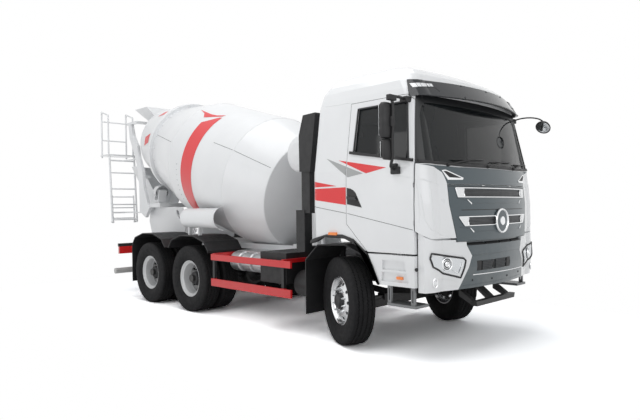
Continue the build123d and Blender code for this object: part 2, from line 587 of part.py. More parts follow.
def make_cab():
    """Shell, doors, mask, screen and visor cut from one form."""
    outer = cab_loft()
    inner = cab_loft(CAB_WALL, CAB_WALL)
    door_inner = cab_loft(DOOR_WALL)
    shell = outer - inner
    under = box(-BODY_X + CAB_WALL, BODY_X - CAB_WALL, -1600, 600, 1100, CAB_FLOOR_Z)
    floor = (inner & box(-1300, 1300, -1600, 600, CAB_FLOOR_Z, CAB_FLOOR_Z + CAB_WALL))
    shell = (shell - under) + floor
    # the front below the mask and the corner panels is open above the bumper
    shell -= side_prism([(-1600, 1000), (CORNER_LINE[-1][0], 1000)] + CORNER_LINE[::-1], -1300, 1300)
    # wheel arches and the tail behind them
    for sign in (-1, 1):
        x0, x1 = sign * 700, sign * 1300
        shell -= side_prism([(-480, 1100), (-470, 1170), (-130, 1310), (240, 1320), (360, 1255), (500, 1255),
                             (500, 1100)], x0, x1)
        shell -= side_prism([(-1200, 1100), (-1200, DOOR_SILL_Z + 10), (-450, DOOR_SILL_Z + 10), (-450, 1100)],
                            x0, x1)
        shell -= side_prism(offset_outline(DOOR_OUTLINE, CLEAR), x0, x1)
    shell += floor & box(-FLOOR_X, FLOOR_X, BUMPER_REAR + 10, 600, CAB_FLOOR_Z, CAB_FLOOR_Z + CAB_WALL)
    layer = outer - cab_loft(MASK_DEPTH)
    ahead = box(-1300, 1300, -1700, DOOR_FRONT - CLEAR, 1000, 3000)
    shell -= front_prism(symmetric(offset_half(MASK_OUTLINE, CLEAR)), -1600, -1000) & layer
    shell -= front_prism(symmetric(COWL_OUTLINE), -1600, -1000) & layer & ahead
    screen = front_prism(symmetric(SCREEN_OUTLINE), -1600, -900)
    screen -= side_prism(offset_outline(DOOR_OUTLINE, CLEAR + 20), -1300, 1300)
    shell -= screen
    cowl = front_prism(symmetric(COWL_OUTLINE), -1600, -1000) & layer & ahead
    for sign in (-1, 1):
        hollow = rod((sign * DOOR_HINGE_X, DOOR_HINGE_Y, DOOR_SILL_Z - 20),
                     (sign * DOOR_HINGE_X, DOOR_HINGE_Y, 2170), HINGE_CLEAR)
        shell -= hollow
        cowl -= hollow
        shell += cab_leg(sign)
        for z in HINGE_ZS:
            shell += hinge_lug(sign, z)
        shell += flap_lug(sign)
    save("cowl_panel", cowl)
    save("cab_shell", keep_largest(shell))
    glass_layer = cab_loft(SCREEN_INSET) - cab_loft(SCREEN_INSET + GLASS)
    save("windscreen", keep_largest(glass_layer & screen))
    mask = (outer - cab_loft(MASK_DEPTH - CLEAR)) & front_prism(symmetric(MASK_OUTLINE), -1600, -1000)
    # left half of each grille slot: half width, low and high edge
    for half, low, high in ((660, 1775, 1860), (650, 1460, 1545)):
        mask -= box(-half, half, -1600, -1100, low, high)
    for sign in (-1, 1):
        mask -= flap_pocket(sign)
    save("front_mask", keep_largest(mask))
    for side, sign in (("right", -1), ("left", 1)):
        span = (sign * 800, sign * 1300)
        skin = (outer - door_inner) & side_prism(DOOR_OUTLINE, *span)
        door = skin - side_prism(WINDOW_OUTLINE, *span)
        for z in HINGE_ZS:
            door -= hinge_pocket(sign, z)
        save(f"door_{side}", keep_largest(door))
        pane = (cab_loft(20) - cab_loft(20 + GLASS)) & side_prism(WINDOW_OUTLINE, *span)
        save(f"door_glass_{side}", pane)


def cab_leg(sign):
    """A leg from the cab's floor down to its tilt pin."""
    x0, x1 = sign * 270, sign * (330 - FIT)
    leg = side_prism([(TILT_Y - 45, TILT_Z), (TILT_Y + 45, TILT_Z), (TILT_Y + 75, CAB_FLOOR_Z + 20),
                      (TILT_Y - 45, CAB_FLOOR_Z + 20)], x0, x1)
    leg += ring_at(x0, x1, TILT_Y, TILT_Z, 55)
    return leg + ring_at(sign * 270, sign * 425, TILT_Y, TILT_Z, TILT_PIN_R)


def hinge_lug(sign, z):
    """A door hinge's lug on the pillar, with its upright pin."""
    half = HINGE_LUG / 2
    pin = rod((sign * DOOR_HINGE_X, DOOR_HINGE_Y, z - half - 20),
              (sign * DOOR_HINGE_X, DOOR_HINGE_Y, z + half + 20),
              HINGE_R)
    # inward and forward of the pin, kept off the path of the door's outer corner
    plan = [(-3, -9), (7, 8), (36, -28), (34, -46), (20, -46), (21, -30)]
    arm = plan_prism([(sign * (DOOR_HINGE_X - x), DOOR_HINGE_Y + y) for x, y in plan], z - half, z + half)
    x, y = sign * DOOR_HINGE_X, DOOR_HINGE_Y
    return pin + arm + rod((x, y, z - half), (x, y, z + half), 12)


def hinge_pocket(sign, z):
    """The pocket in a door's front edge for a hinge lug, and the bore for its pin."""
    half = HINGE_LUG / 2
    pocket = box(sign * (DOOR_HINGE_X + 18), sign * (DOOR_HINGE_X - 60), DOOR_HINGE_Y - 60, DOOR_HINGE_Y + 18,
                 z - half - CLEAR, z + half + CLEAR)
    bore = rod((sign * DOOR_HINGE_X, DOOR_HINGE_Y, z - half - 25),
               (sign * DOOR_HINGE_X, DOOR_HINGE_Y, z + half + 25),
               HINGE_R + SHAFT_FIT)
    return pocket + bore


def flap_lug(sign):
    """The mask hinge's arm on the cab's front wall, with its level pin."""
    x0, x1 = sign * FLAP_HINGE_X[0], sign * FLAP_HINGE_X[1]
    arm = box(x0, x1, FLAP_Y, FLAP_Y + 70, FLAP_Z - 4, FLAP_Z + 4)
    return arm + ring_at(sign * (FLAP_HINGE_X[0] - 15), sign * (FLAP_HINGE_X[1] + 15), FLAP_Y, FLAP_Z,
                         FLAP_PIN_R)


def flap_pocket(sign):
    """The slot in the mask's upper edge for a hinge arm, and the bore for its pin."""
    slot = box(sign * (FLAP_HINGE_X[0] - CLEAR), sign * (FLAP_HINGE_X[1] + CLEAR), FLAP_Y - 5, FLAP_Y + 100,
               FLAP_Z - 5, MASK_TOP_Z + 20)
    bore = ring_at(sign * (FLAP_HINGE_X[0] - 20), sign * (FLAP_HINGE_X[1] + 20), FLAP_Y, FLAP_Z,
                   FLAP_PIN_R + SHAFT_FIT)
    return slot + bore


def offset_half(points, gap):
    """The left half of a front outline moved outwards, its foot and head moved too."""
    moved = [(x + gap, z) for x, z in points]
    moved[0] = (moved[0][0], moved[0][1] - 2 * gap)
    moved[-1] = (moved[-1][0], COWL_OUTLINE[0][1] - 0.5)
    return moved


def keep_largest(shape):
    """The main solid of a cut, without offcuts."""
    return sorted(shape.solids(), key=lambda solid: solid.volume)[-1]



# ---------------------------------------------------------------- bumper, steps, cab fittings
def bumper_face(z, front, half, turn_x, turn_y):
    """The bumper's plan at one height, bowed like the cab above it."""
    row = (z, half, front, turn_x, turn_y, BUMPER_REAR - 80, 430)
    return plan_face(row)


def make_bumper(tail_lamps):
    """White ends with lamps and a grey middle with slots; both hang from the cab's front edge."""
    rows = [(BUMPER_FOOT, -1430), (1000, -1470), (BUMPER_TOP, -1455), (BUMPER_TOP + 140, -1445)]
    outer = loft([bumper_face(z, front, BUMPER_X, 960, front + 150) for z, front in rows], ruled=True)
    inner = loft([bumper_face(z, front + 60, BUMPER_X - 50, 930, front + 210) for z, front in rows], ruled=True)
    under_cab = [(y, z - PANEL_GAP) for y, z in CORNER_LINE]
    wall = (outer - inner) & side_prism([(-1600, 650), (0, 650)] + under_cab[::-1], -1300, 1300)
    wall = wall & box(-1300, 1300, -1600, BUMPER_REAR, 650, 1500)
    foot = MASK_OUTLINE[0]
    wall -= front_prism(symmetric([(foot[0] + PANEL_GAP, foot[1] - PANEL_GAP), (foot[0] + 20, 1500)]), -1600,
                        -1000)
    band = cab_loft() - cab_loft(CAB_WALL)
    middle = [(-740, 740), (740, 740), (555, 1125), (628, LEDGE_Z), (640, 1450), (-640, 1450), (-628, LEDGE_Z),
              (-555, 1125)]
    ends = wall - front_prism(offset_outline(middle, SEAM), -1600, -1000)
    for sign in (-1, 1):
        ends += box(sign * 900, sign * 950, -1275, -1195, 1150, CAB_FLOOR_Z) - band
    lamp = [(-1124, 1040), (-1151, 1133), (-1136, 1180), (-691, 1106), (-660, 1079), (-722, 896), (-994, 967)]
    lamp_right = front_prism(lamp, -1600, -1300)
    lamp_left = mirrored(lamp_right)
    lamps = [(wall & lamp_right).solids(), (wall & lamp_left).solids()]
    lamp_hole = front_prism(offset_outline(lamp, SEAM), -1600, -1300)
    ends -= lamp_hole + mirrored(lamp_hole)
    save("bumper_ends", [solid for solid in ends.solids() if solid.volume > 1e5])
    centre = wall & front_prism(middle, -1600, -1000)
    # the ledge above the grey middle lies back from its face
    step = loft([bumper_face(z, front + 35, BUMPER_X, 960, front + 185) for z, front in rows], ruled=True)
    centre -= (outer - step) & box(-900, 900, -1600, -1000, LEDGE_Z, 1500)
    centre -= box(*BUMPER_SLOT_X, -1600, -1200, 955, 1060)
    for sign in (-1, 1):
        centre += box(sign * 200, sign * 260, -1415, -1345, 1150, CAB_FLOOR_Z) - band
    save("bumper_centre", keep_largest(centre))
    save("lamps", [sorted(group, key=lambda solid: solid.volume)[-1] for group in lamps])
    save("tail_lamps", tail_lamps)


def make_front_underrun():
    """Low bar under the bumper on slanted struts from the frame, with the towing pin's bore."""
    bar = front_prism([(-430, UNDERRUN_Z[0]), (430, UNDERRUN_Z[0]), (450, UNDERRUN_Z[1]),
                       (-450, UNDERRUN_Z[1])],
                      -1400, -1330)
    for sign in (-1, 1):
        bar += side_prism([(-1332, UNDERRUN_Z[0]), (-1332, UNDERRUN_Z[1]), (FRAME_FRONT, 720),
                           (FRAME_FRONT, 640)],
                          sign * 350, sign * 420)
        bar += box(sign * 350, sign * 420, FRAME_FRONT - 12, FRAME_FRONT, 640, 740)
    bar += side_prism([(-1332, UNDERRUN_Z[0]), (-1332, UNDERRUN_Z[1]), (FRAME_FRONT, 740), (FRAME_FRONT, 690)],
                      -60, 60)
    bar += box(-60, 60, FRAME_FRONT - 12, FRAME_FRONT, 690, 800)
    bar -= rod((0, -1365, UNDERRUN_Z[0] - 5), (0, -1365, UNDERRUN_Z[1] + 5), TOW_PIN_R)
    save("front_underrun", bar)


def make_steps():
    """White boarding panels between bumper and wheel, hung from the cab, with the folding step below."""
    panels, steps = [], []
    for sign in (-1, 1):
        outline = [(-1140, 815), (-1140, 1150), (-490, 1150), (-560, 1020), (-655, 815)]
        panel = side_prism(outline, sign * (BODY_X - 5), sign * (BODY_X - 60))
        # the boarding recess with its ledges
        panel -= side_prism([(-1060, 860), (-1000, 1090), (-700, 1090), (-680, 860)], sign * (BODY_X - 5),
                            sign * (BODY_X - 35))
        panel += box(sign * (BODY_X - 6), sign * (BODY_X - 60), -1030, -690, 960, 985)
        panel += box(sign * (BODY_X - 60), sign * (BODY_X - 155), -900, -840, 1060, 1100)
        panel += box(sign * (BODY_X - 95), sign * (BODY_X - 155), -900, -840, 1060, CAB_FLOOR_Z)
        panels.append(panel)
        step = box(sign * 1000, sign * (BODY_X - 10), -1150, -760, 595, 625)
        for y in (-1125, -805):
            hanger = box(sign * (BODY_X - 55), sign * (BODY_X - 25), y, y + 50, 625, 815)
            step += hanger - box(sign * (BODY_X - 60), sign * (BODY_X - 20), y + 16, y + 34, 655, 785)
        steps.append(step)
    save("boarding_steps", panels, steps)


def make_cab_fittings():
    """Visor, dashboard with wheel, seats, the round mirror and the door mirrors."""
    rows = [(2860, -1370, 1140, 960, -1180, -1000), (3050, -1230, 1110, 930, -1060, -930)]
    band = []
    for inset in (0, 30):
        faces = [plan_face((z, half, front, tx, ty, sy, 430), inset) for z, front, half, tx, ty, sy in rows]
        band.append(loft(faces, ruled=True))
    visor = (band[0] - band[1]) & side_prism(VISOR_SIDE, -1300, 1300)
    visor = keep_largest(visor - cab_loft(-FIT))
    save("visor", visor)
    dash = box(-1120, 1120, -1240, -1000, CAB_FLOOR_Z + CAB_WALL, 2020)
    dash += box(-1100, 1100, -1000, -800, 1700, 1990)
    dash += rod((560, -810, 1900), (560, -700, 1990), 35)
    dash += Pos(560, -690, 2000) * Rot(50, 0, 0) * Torus(225, 18)
    dash += Pos(560, -690, 2000) * Rot(50, 0, 0) * Box(430, 60, 20)
    dash = dash & cab_loft(CAB_WALL + 4)
    save("dashboard", keep_largest(dash))
    seats = []
    for x in (-560, 560):
        seat = box(x - 250, x + 250, -560, -60, 1750, 1880)
        seat += box(x - 180, x + 180, -480, -120, CAB_FLOOR_Z + CAB_WALL, 1750)
        seat += side_prism([(-160, 1870), (-40, 1870), (80, 2520), (-20, 2540)], x - 240, x + 240)
        seat += side_prism([(-10, 2520), (70, 2520), (85, 2720), (5, 2720)], x - 130, x + 130)
        seats.append(seat)
    save("seats", seats)
    arm = rail([(1080, -1010, 2800), (1125, -1150, 2836), (1130, -1302, 2824), (1130, -1400, 2802),
                (1130, -1475, 2735)], 10)
    disc = Pos(1130, -1500, 2700) * Rot(60, 0, 0) * domed_disc(125, 48)
    around = cab_loft(-FIT)
    save("front_mirror", keep_largest(arm + disc - around))
    for side, sign in (("right", -1), ("left", 1)):
        mirror_set = keep_largest(mirror_parts(*(MIRROR_OUT if sign < 0 else MIRROR_BACK)) - around)
        save(f"mirrors_{side}", mirror_set if sign < 0 else mirrored(mirror_set))


def housing(width, depth, low, high, edge):
    """A mirror housing round the Z axis with bevelled edges and ends."""
    outline = [(width / 2 - edge, -depth / 2), (width / 2, edge - depth / 2), (width / 2, depth / 2 - edge),
               (width / 2 - edge, depth / 2)]
    outline += [(-x, y) for x, y in reversed(outline)]
    small = [(x * (1 - edge / width), y * (1 - edge / depth)) for x, y in outline]
    rows = [(low, small), (low + edge / 2, outline), (high - edge / 2, outline), (high, small)]
    return loft([Pos(0, 0, z) * make_face(Polyline(*row, close=True)) for z, row in rows], ruled=True)


def domed_disc(radius, depth):
    """A round mirror housing with a domed back, round the Z axis."""
    return Pos(0, 0, -depth / 2) * turned([(0, 0), (radius, 0), (radius, depth * 0.3),
                                           (radius * 0.8, depth * 0.75),
                                           (radius * 0.4, depth), (0, depth)])


def mirror_parts(along, turn):
    """The right-hand main and wide-angle mirrors on their brackets; turn swings the heads back."""
    swing = radians(turn)
    out = MIRROR_REACH - MIRROR_HEAD[0] / 2 * cos(swing) - (MIRROR_HEAD[1] / 2 - 30) * sin(swing)
    heads = housing(*MIRROR_HEAD, 2390, 2765, 30)
    heads += Pos(41, 0, 0) * housing(*MIRROR_WIDE, 2165, 2382, 20)
    heads += rod((20, 0, 2300), (20, 0, 2450), 22)
    heads = Pos(-out, along, 0) * Rot(0, 0, turn) * heads
    heads += rail([(-1135, -985, 2820), (-out + 10, along, 2825), (-out + 10, along, 2740)], 17)
    foot = Pos(-out, along, 0) * Rot(0, 0, turn) * Pos(41, 0, 0)
    at = foot.position
    heads += rail([(-1240, MIRROR_FOOT_Y, 2065), (at.X, at.Y, 2065), (at.X, at.Y, 2200)], 20)
    heads += box(-1282, -1235, MIRROR_FOOT_Y - 55, MIRROR_FOOT_Y + 55, 2020, 2105)
    return heads


def make_grilles():
    """Silver frames with dark bars that fill the mask's slots."""
    solids = []
    for half, low, high in ((660, 1775, 1860), (650, 1460, 1545)):
        span = cab_loft(10) - cab_loft(MASK_DEPTH - CLEAR)
        solids += (span & box(-half + FIT, half - FIT, -1600, -1100, low + FIT, high - FIT)).solids()
    save("grilles", solids)


def make_intake():
    """Mesh-sided snorkel behind the cab and its duct down to the filter."""
    snorkel = side_prism([(595, 2130), (800, 2140), (805, 2610), (720, 2862), (485, 2872)], -1125, -1035)
    snorkel += box(-1105, -1020, 625, 780, 1600, 2150)
    snorkel += box(-1115, -985, 720, 885, 1100, 1640)
    snorkel += box(-990, -FRAME_X, 760, 840, 1100, 1160) + box(-FRAME_X - 40, -FRAME_X, 760, 840, 920, 1100)
    save("air_intake", snorkel)


# ---------------------------------------------------------------- mixer
def drum_point(t, r=0.0, angle=0.0):
    """A point at a station along the drum axis; the angle turns from the lowest line."""
    tilt = radians(DRUM_TILT)
    x = -r * sin(radians(angle))
    down = -r * cos(radians(angle))
    return (x, DRUM_Y + t * cos(tilt) - down * sin(tilt), DRUM_Z + t * sin(tilt) + down * cos(tilt))


def on_drum(shape):
    """A shape drawn round +Z put on the drum's inclined axis, its lowest line at +Y."""
    return Pos(0, DRUM_Y, DRUM_Z) * Rot(-(90 - DRUM_TILT), 0, 0) * shape


def drum_shell():
    """The drum's wall: dished head, cone, barrel, long rear cone, mouth and ring."""
    outer = [(DRUM_FRONT_R, 0), (DRUM_R, DRUM_BARREL[0]), (DRUM_R, DRUM_BARREL[1]),
             (RING_R - 70, RING_T), (MOUTH_R, MOUTH_T)]
    inner = [(r - DRUM_WALL, max(t, DRUM_WALL)) for r, t in outer]
    head = [(0, -HEAD_DISH), (HEAD_HUB_R, -HEAD_DISH)]
    head_inside = [(r, t + DRUM_WALL) for r, t in reversed(head)]
    shell = turned(head + outer + inner[::-1] + head_inside)
    band = turned([(RING_R - 76, RING_T - RING_W / 2), (RING_R, RING_T - RING_W / 2),
                   (RING_R, RING_T + RING_W / 2), (RING_R - 90, RING_T + RING_W / 2)])
    stub = Pos(0, 0, -HEAD_DISH - STUB_LONG) * Cylinder(STUB_R, STUB_LONG + DRUM_WALL / 2,
                                                        align=(Align.CENTER, Align.CENTER, Align.MIN))
    return shell + band + stub


def make_drum():
    """The drum on its axis and the two support rollers with their pins."""
    save("drum", on_drum(drum_shell()))
    for side, sign in (("right", -1), ("left", 1)):
        x, y = roller_place(sign)
        align = (Align.CENTER, Align.CENTER, Align.CENTER)
        roller = Cylinder(ROLLER_R, ROLLER_W, align=align)
        roller -= Cylinder(ROLLER_PIN_R + SHAFT_FIT, ROLLER_W + 2, align=align)
        save(f"roller_{side}", on_drum(Pos(x, y, RING_T) * roller))


def roller_place(sign):
    """Where a support roller turns, across the drum axis: right is -X, low is +Y."""
    reach = RING_R + ROLLER_R + FIT
    return sign * reach * sin(radians(ROLLER_ANGLE)), reach * cos(radians(ROLLER_ANGLE))


def make_gearbox():
    """Drum drive: flange, case and motor in line with the drum."""
    align = (Align.CENTER, Align.CENTER, Align.MAX)
    drive = Pos(0, 0, -HEAD_DISH - FIT) * Cylinder(220, 60, align=align)
    drive += Pos(0, 0, -HEAD_DISH - 50) * Cylinder(GEARBOX_R, 230, align=align)
    drive += Pos(0, 0, -HEAD_DISH - 270) * Cylinder(100, 160, align=align)
    drive -= Pos(0, 0, -HEAD_DISH) * Cylinder(STUB_R + SHAFT_FIT, STUB_LONG + 2, align=align)
    save("drum_gearbox", on_drum(drive))


def make_subframe():
    """Rails on the chassis, the gearbox pedestal and the roller pedestal."""
    top = SUB_Z + SUB_H
    sub = None
    for sign in (-1, 1):
        one = box(sign * FRAME_X, sign * (FRAME_X - 90), 1000, 6200, SUB_Z, top)
        sub = one if sub is None else sub + one
    y_mid = drum_point(-HEAD_DISH - 150)[1]
    sub += box(-FRAME_X, FRAME_X, y_mid - 220, y_mid + 200, top, top + 30)
    for sign in (-1, 1):
        sub += side_prism([(y_mid - 220, top), (y_mid + 200, top), (y_mid + 90, 1700), (y_mid - 90, 1700)],
                          sign * 150, sign * 190)
    sub += box(-190, 190, y_mid - 90, y_mid + 60, 1500, 1700)
    align = (Align.CENTER, Align.CENTER, Align.MIN)
    sub -= on_drum(Pos(0, 0, -HEAD_DISH - 500) * Cylinder(GEARBOX_R + FIT, 520, align=align))
    sub -= on_drum(Pos(0, 0, -HEAD_DISH - 60 - FIT) * Cylinder(250, 400, align=align))
    save("mixer_frame", keep_largest(sub))
    rear = box(-PANEL_X, PANEL_X, 5250, 5980, top, top + 40)
    for sign in (-1, 1):
        inner, outer = sign * (PANEL_X - PANEL_WALL), sign * PANEL_X
        panel = side_prism([(4740, top), (5980, top), (6110, 1430), (6060, 1700), (5420, 1700), (5080, 1705),
                            (4780, 1690), (4700, 1300)], inner, outer)
        panel -= side_prism([(4905, 1470), (5015, 1570), (5025, 1625), (4985, 1650), (4935, 1625),
                             (4890, 1500)], inner, outer)
        rear += panel + box(inner, sign * FRAME_X, 4740, 5250, top, top + 12)
        x, y = roller_place(sign)
        for face in (-1, 1):
            cheek = Pos(x, y + 60, RING_T + face * (ROLLER_W / 2 + 25)) * Box(160, 230, 30)
            rear += on_drum(cheek)
        rear += on_drum(Pos(x, y, RING_T) * Cylinder(ROLLER_PIN_R, ROLLER_W + 70))
    rear += box(-680, 680, 5420, 5900, 1700, 1780)
    save("rear_pedestal", rear + rear_arms())


def rear_arms():
    """Curved arms beside the mouth that carry the hoppers."""
    arms = None
    for sign in (-1, 1):
        rear_edge = [(5800, 1700), (5980, 1500), (6230, 1620), (6230, 1820), (6240, 2160), (6290, 2440),
                     (6390, 2720), (6540, 2980), (6640, 3150), (6680, ARM_TOP_Z)]
        front_edge = [(6560, ARM_TOP_Z), (6470, 3170), (6300, 2960), (6240, 2740), (6080, 2420), (6040, 2100),
                      (5960, 1950), (5900, 1800)]
        outline = rear_edge + front_edge
        arm = side_prism(outline, sign * 640, sign * 700)
        arms = arm if arms is None else arms + arm
    return arms


def make_water_tank():
    """Cross-mounted water tank on posts behind the cab."""
    tank = Pos(-WATER_X, WATER_Y, 2430) * Rot(0, 0, -90) * domed_tank((0, 0, 0), 255, 2 * WATER_X, 70)
    save("water_tank", tank + tank_posts())


def tank_posts():
    """Two posts from the subframe to the tank."""
    shape = None
    for sign in (-1, 1):
        post = box(sign * 350, sign * 420, WATER_Y - 40, WATER_Y + 40, SUB_Z + SUB_H, 2230)
        shape = post if shape is None else shape + post
    return shape


def hopper_form(wall):
    """The feed hopper's form from spout to rim, or the space inside its walls."""
    faces = []
    for share in (-0.05, 1.05) if wall else (0, 1):
        width, depth = 520 + 360 * share - 2 * wall, 300 + 240 * share - 2 * wall
        faces.append(Pos(0, 6230 + 420 * share, 3400 + 400 * share) * Rectangle(width, depth).face())
    return loft(faces, ruled=True)


def make_hoppers():
    """The feed hopper above the mouth and the collector below it."""
    feed, hollow = hopper_form(0), hopper_form(HOPPER_WALL)
    feed -= hollow
    for sign in (-1, 1):
        feed += box(sign * 240, sign * 700, 6310, 6380, ARM_TOP_Z + FIT, ARM_TOP_Z + 50)
        feed += box(sign * 640, sign * 700, 6310, 6760, ARM_TOP_Z + FIT, ARM_TOP_Z + 50)
    feed -= hollow
    collector = front_prism([(-600, 2560), (600, 2560), (190, 1740), (-190, 1740)], 6330, 6780)
    inside = front_prism([(-592, 2570), (592, 2570), (182, 1730), (-182, 1730)], 6300, 6772)
    collector -= inside
    for sign in (-1, 1):
        collector += box(sign * 480, sign * (640 - FIT), 6180, 6400, 2300, 2360)
    collector -= inside
    save("hoppers", keep_largest(feed), keep_largest(collector))


def ladder_y(z):
    """Where the fixed ladder's rails lie at a height."""
    (foot_y, foot_z), (head_y, head_z) = LADDER_FOOT, LADDER_HEAD
    return foot_y + (z - foot_z) / (head_z - foot_z) * (head_y - foot_y)


def make_platform():
    """Ladder, step plate and hooped rails at the right rear, and the folding foot."""
    x0, x1 = LADDER_X
    y0, y1 = LADDER_HEAD[0] + HOOP_SET, PLATFORM_Y1
    shape = box(x0 - 25, x1 + 25, LADDER_HEAD[0] - 25, PLATFORM_Y1 + 20, *PLATE_Z)
    for x in (x0, x1):
        shape += rail([(x, y0, PLATE_Z[0] - 12), (x, y0, 3650), (x, y1, 3750), (x, y1, PLATE_Z[0] - 12)], 17)
        shape += rod((x, *LADDER_HEAD), (x, *LADDER_FOOT), 20)
    for z in (3150, 3550):
        shape += rod((x0, PLATFORM_Y1, z), (x1, PLATFORM_Y1, z), 13)
    for z in (1450, 1770, 2100, 2440):
        shape += rod((x0, ladder_y(z), z), (x1, ladder_y(z), z), 14)
    for z in STRUT_ZS:
        shape += rod((x0, ladder_y(z), z), (x1, ladder_y(z), z), 16)
        shape += rod((-670, ladder_y(z), z), (-670, 6000, z), 13)
    shape -= rear_arms() + box(-760, -600, 5900, 6110, 1400, 2000) + box(-760, -600, 5900, 6200, 2300, 2900)
    pin_y, pin_z = LADDER_FOOT[0] + LADDER_GAP, LADDER_FOOT[1]
    for x, inward in ((x0, 1), (x1, -1)):
        shape += box(x - inward * 8, x + inward * 14, LADDER_FOOT[0], pin_y + 15, pin_z - 15, pin_z + 15)
        shape += rod((x, pin_y, pin_z), (x + inward * 50, pin_y, pin_z), LADDER_PIN_R)
    save("access_platform", keep_largest(shape))
    save("ladder_fold", ladder_fold(x0 + 32, x1 - 32, pin_y, pin_z))


def ladder_fold(x0, x1, pin_y, pin_z):
    """The ladder's folding foot, stowed upwards behind the fixed rungs."""
    lean = (LADDER_HEAD[0] - LADDER_FOOT[0]) / (LADDER_HEAD[1] - LADDER_FOOT[1])
    fold = None
    for x in (x0, x1):
        one = rod((x, pin_y, pin_z), (x, pin_y + 560 * lean, pin_z + 560), 15)
        one += rod((x - 16, pin_y, pin_z), (x + 16, pin_y, pin_z), 20)
        one -= rod((x - 17, pin_y, pin_z), (x + 17, pin_y, pin_z), LADDER_PIN_R + SHAFT_FIT)
        fold = one if fold is None else fold + one
    for rise in (80, 300, 530):
        fold += rod((x0, pin_y + rise * lean, pin_z + rise), (x1, pin_y + rise * lean, pin_z + rise), 12)
    return fold


def trough(length, radius):
    """A half-round channel along +Y, open upwards, its middle line at the origin."""
    align = (Align.CENTER, Align.CENTER, Align.MIN)
    body = Cylinder(radius, length, align=align) - Cylinder(radius - CHUTE_WALL, length, align=align)
    body = body & Pos(0, radius / 2, length / 2) * Box(3 * radius, radius, length)
    return Rot(-90, 0, 0) * body


def stowed(shape, drop=0):
    """A chute piece drawn along +Y from the post, turned and dropped to its stowed place."""
    return Pos(0, CHUTE_Y, CHUTE_Z) * Rot(0, 0, -CHUTE_TURN) * Rot(-drop, 0, 0) * shape


def fold_lug(sign, hinge_y, hinge_z):
    """The main trough's lug for the tip, with its pin; it stays below the hinge line."""
    x0, x1 = sign * (CHUTE_R - 2), sign * (CHUTE_R + 16)
    clear_x = sign * (CHUTE_R + CLEAR)
    lug = box(x0, x1, hinge_y - 80, hinge_y - 3, hinge_z - 60, hinge_z - 8)
    lug += ring_at(clear_x, x1, hinge_y, hinge_z, 12)
    lug += box(clear_x, x1, hinge_y - 12, hinge_y + 12, hinge_z - 60, hinge_z)
    return lug + ring_at(clear_x, sign * (CHUTE_R + 34), hinge_y, hinge_z, TIP_PIN_R)


def tip_lug(sign):
    """The tip's lug outside the main trough's, round the same pin, unfolded."""
    x0, x1 = sign * (CHUTE_R + 16 + FIT), sign * (CHUTE_R + 32)
    lug = ring_at(x0, x1, 0, 0, 14) + box(x0, x1, -14, 90, -60, 0)
    lug += box(sign * (CHUTE_R - 2), x1, 30, 90, -60, -16)
    return lug - ring_at(sign * CHUTE_R, sign * (CHUTE_R + 40), 0, 0, TIP_PIN_R + SHAFT_FIT)


def make_chute():
    """Slewing post in its socket, main trough on the tilt pin, folding tip."""
    foot = 900 - CHUTE_Z
    post = rod((0, 0, foot), (0, 0, -190), POST_R)
    post += rod((0, 0, 1010 - CHUTE_Z), (0, 0, 1030 - CHUTE_Z), POST_R + 30)
    post += box(-90, 90, -40, 40, -220, -190)
    for sign in (-1, 1):
        post += box(sign * 70, sign * 90, -25, 25, -200, 0) + ring_at(sign * 70, sign * 90, 0, 0, 25)
    post -= ring_at(-95, 95, 0, 0, CHUTE_PIN_R + SHAFT_FIT)
    save("chute_post", stowed(post))
    align = (Align.CENTER, Align.CENTER, Align.MIN)
    main = Pos(0, CHUTE_START, CHUTE_RAISE) * trough(CHUTE_END - CHUTE_START, CHUTE_R)
    for sign in (-1, 1):
        main += box(sign * 50, sign * (70 - FIT), -30, 30, 0, CHUTE_RAISE)
        main += ring_at(sign * 50, sign * (70 - FIT), 0, 0, 30)
    main -= Pos(0, -200, CHUTE_RAISE) * Rot(-90, 0, 0) * Cylinder(CHUTE_R - CHUTE_WALL, 400, align=align)
    main += ring_at(-88, 88, 0, 0, CHUTE_PIN_R)
    hinge_y, hinge_z = CHUTE_END + 3, CHUTE_RAISE + 4
    for sign in (-1, 1):
        main += fold_lug(sign, hinge_y, hinge_z)
    save("chute_main", stowed(main, CHUTE_DROP))
    tip = Pos(0, 3, -4) * trough(CHUTE_TIP, CHUTE_R)
    for sign in (-1, 1):
        tip += tip_lug(sign)
    tip = Pos(0, hinge_y, hinge_z) * Rot(180, 0, 0) * tip
    save("chute_tip", stowed(tip, CHUTE_DROP))


def make_spare_chute():
    """A further trough with a flared mouth, stored on its side on legs above the right-hand mudguard."""
    x, y0, z = SPARE_PLACE
    outer = [(SPARE_R, 0), (SPARE_R, SPARE_LONG), (SPARE_R + SPARE_FLARE[0], SPARE_LONG + SPARE_FLARE[1])]
    profile = outer + [(r - CHUTE_WALL, t) for r, t in reversed(outer)]
    place = Plane(origin=(x, y0 + SPARE_LONG, z), x_dir=(0, 0, 1), z_dir=(0, -1, 0))
    spare = place * turned(profile, 180)
    hollow = rod((x, y0 - 10, z), (x, y0 + SPARE_LONG + 10, z), SPARE_R - CHUTE_WALL)
    for y in (WHEELBASE - 170, WHEELBASE + 130):
        spare += box(x - 55, x - 2, y, y + 40, MUDGUARD_TOP + MUDGUARD_WALL, z - SPARE_R + 30) - hollow
    save("spare_chute", keep_largest(spare))


def main():
    """Build and write every node."""
    for step in (make_wheels, make_knuckles, make_frame, make_axles, make_springs, make_powertrain, make_tanks,
                 make_guards, make_mudguards, make_cab, make_steps, make_cab_fittings, make_grilles, make_intake,
                 make_drum, make_gearbox, make_subframe, make_water_tank, make_hoppers, make_platform, make_chute,
                 make_spare_chute, make_front_underrun):
        step()
    make_bumper(make_rear_end())


if __name__ == "__main__":
    main()
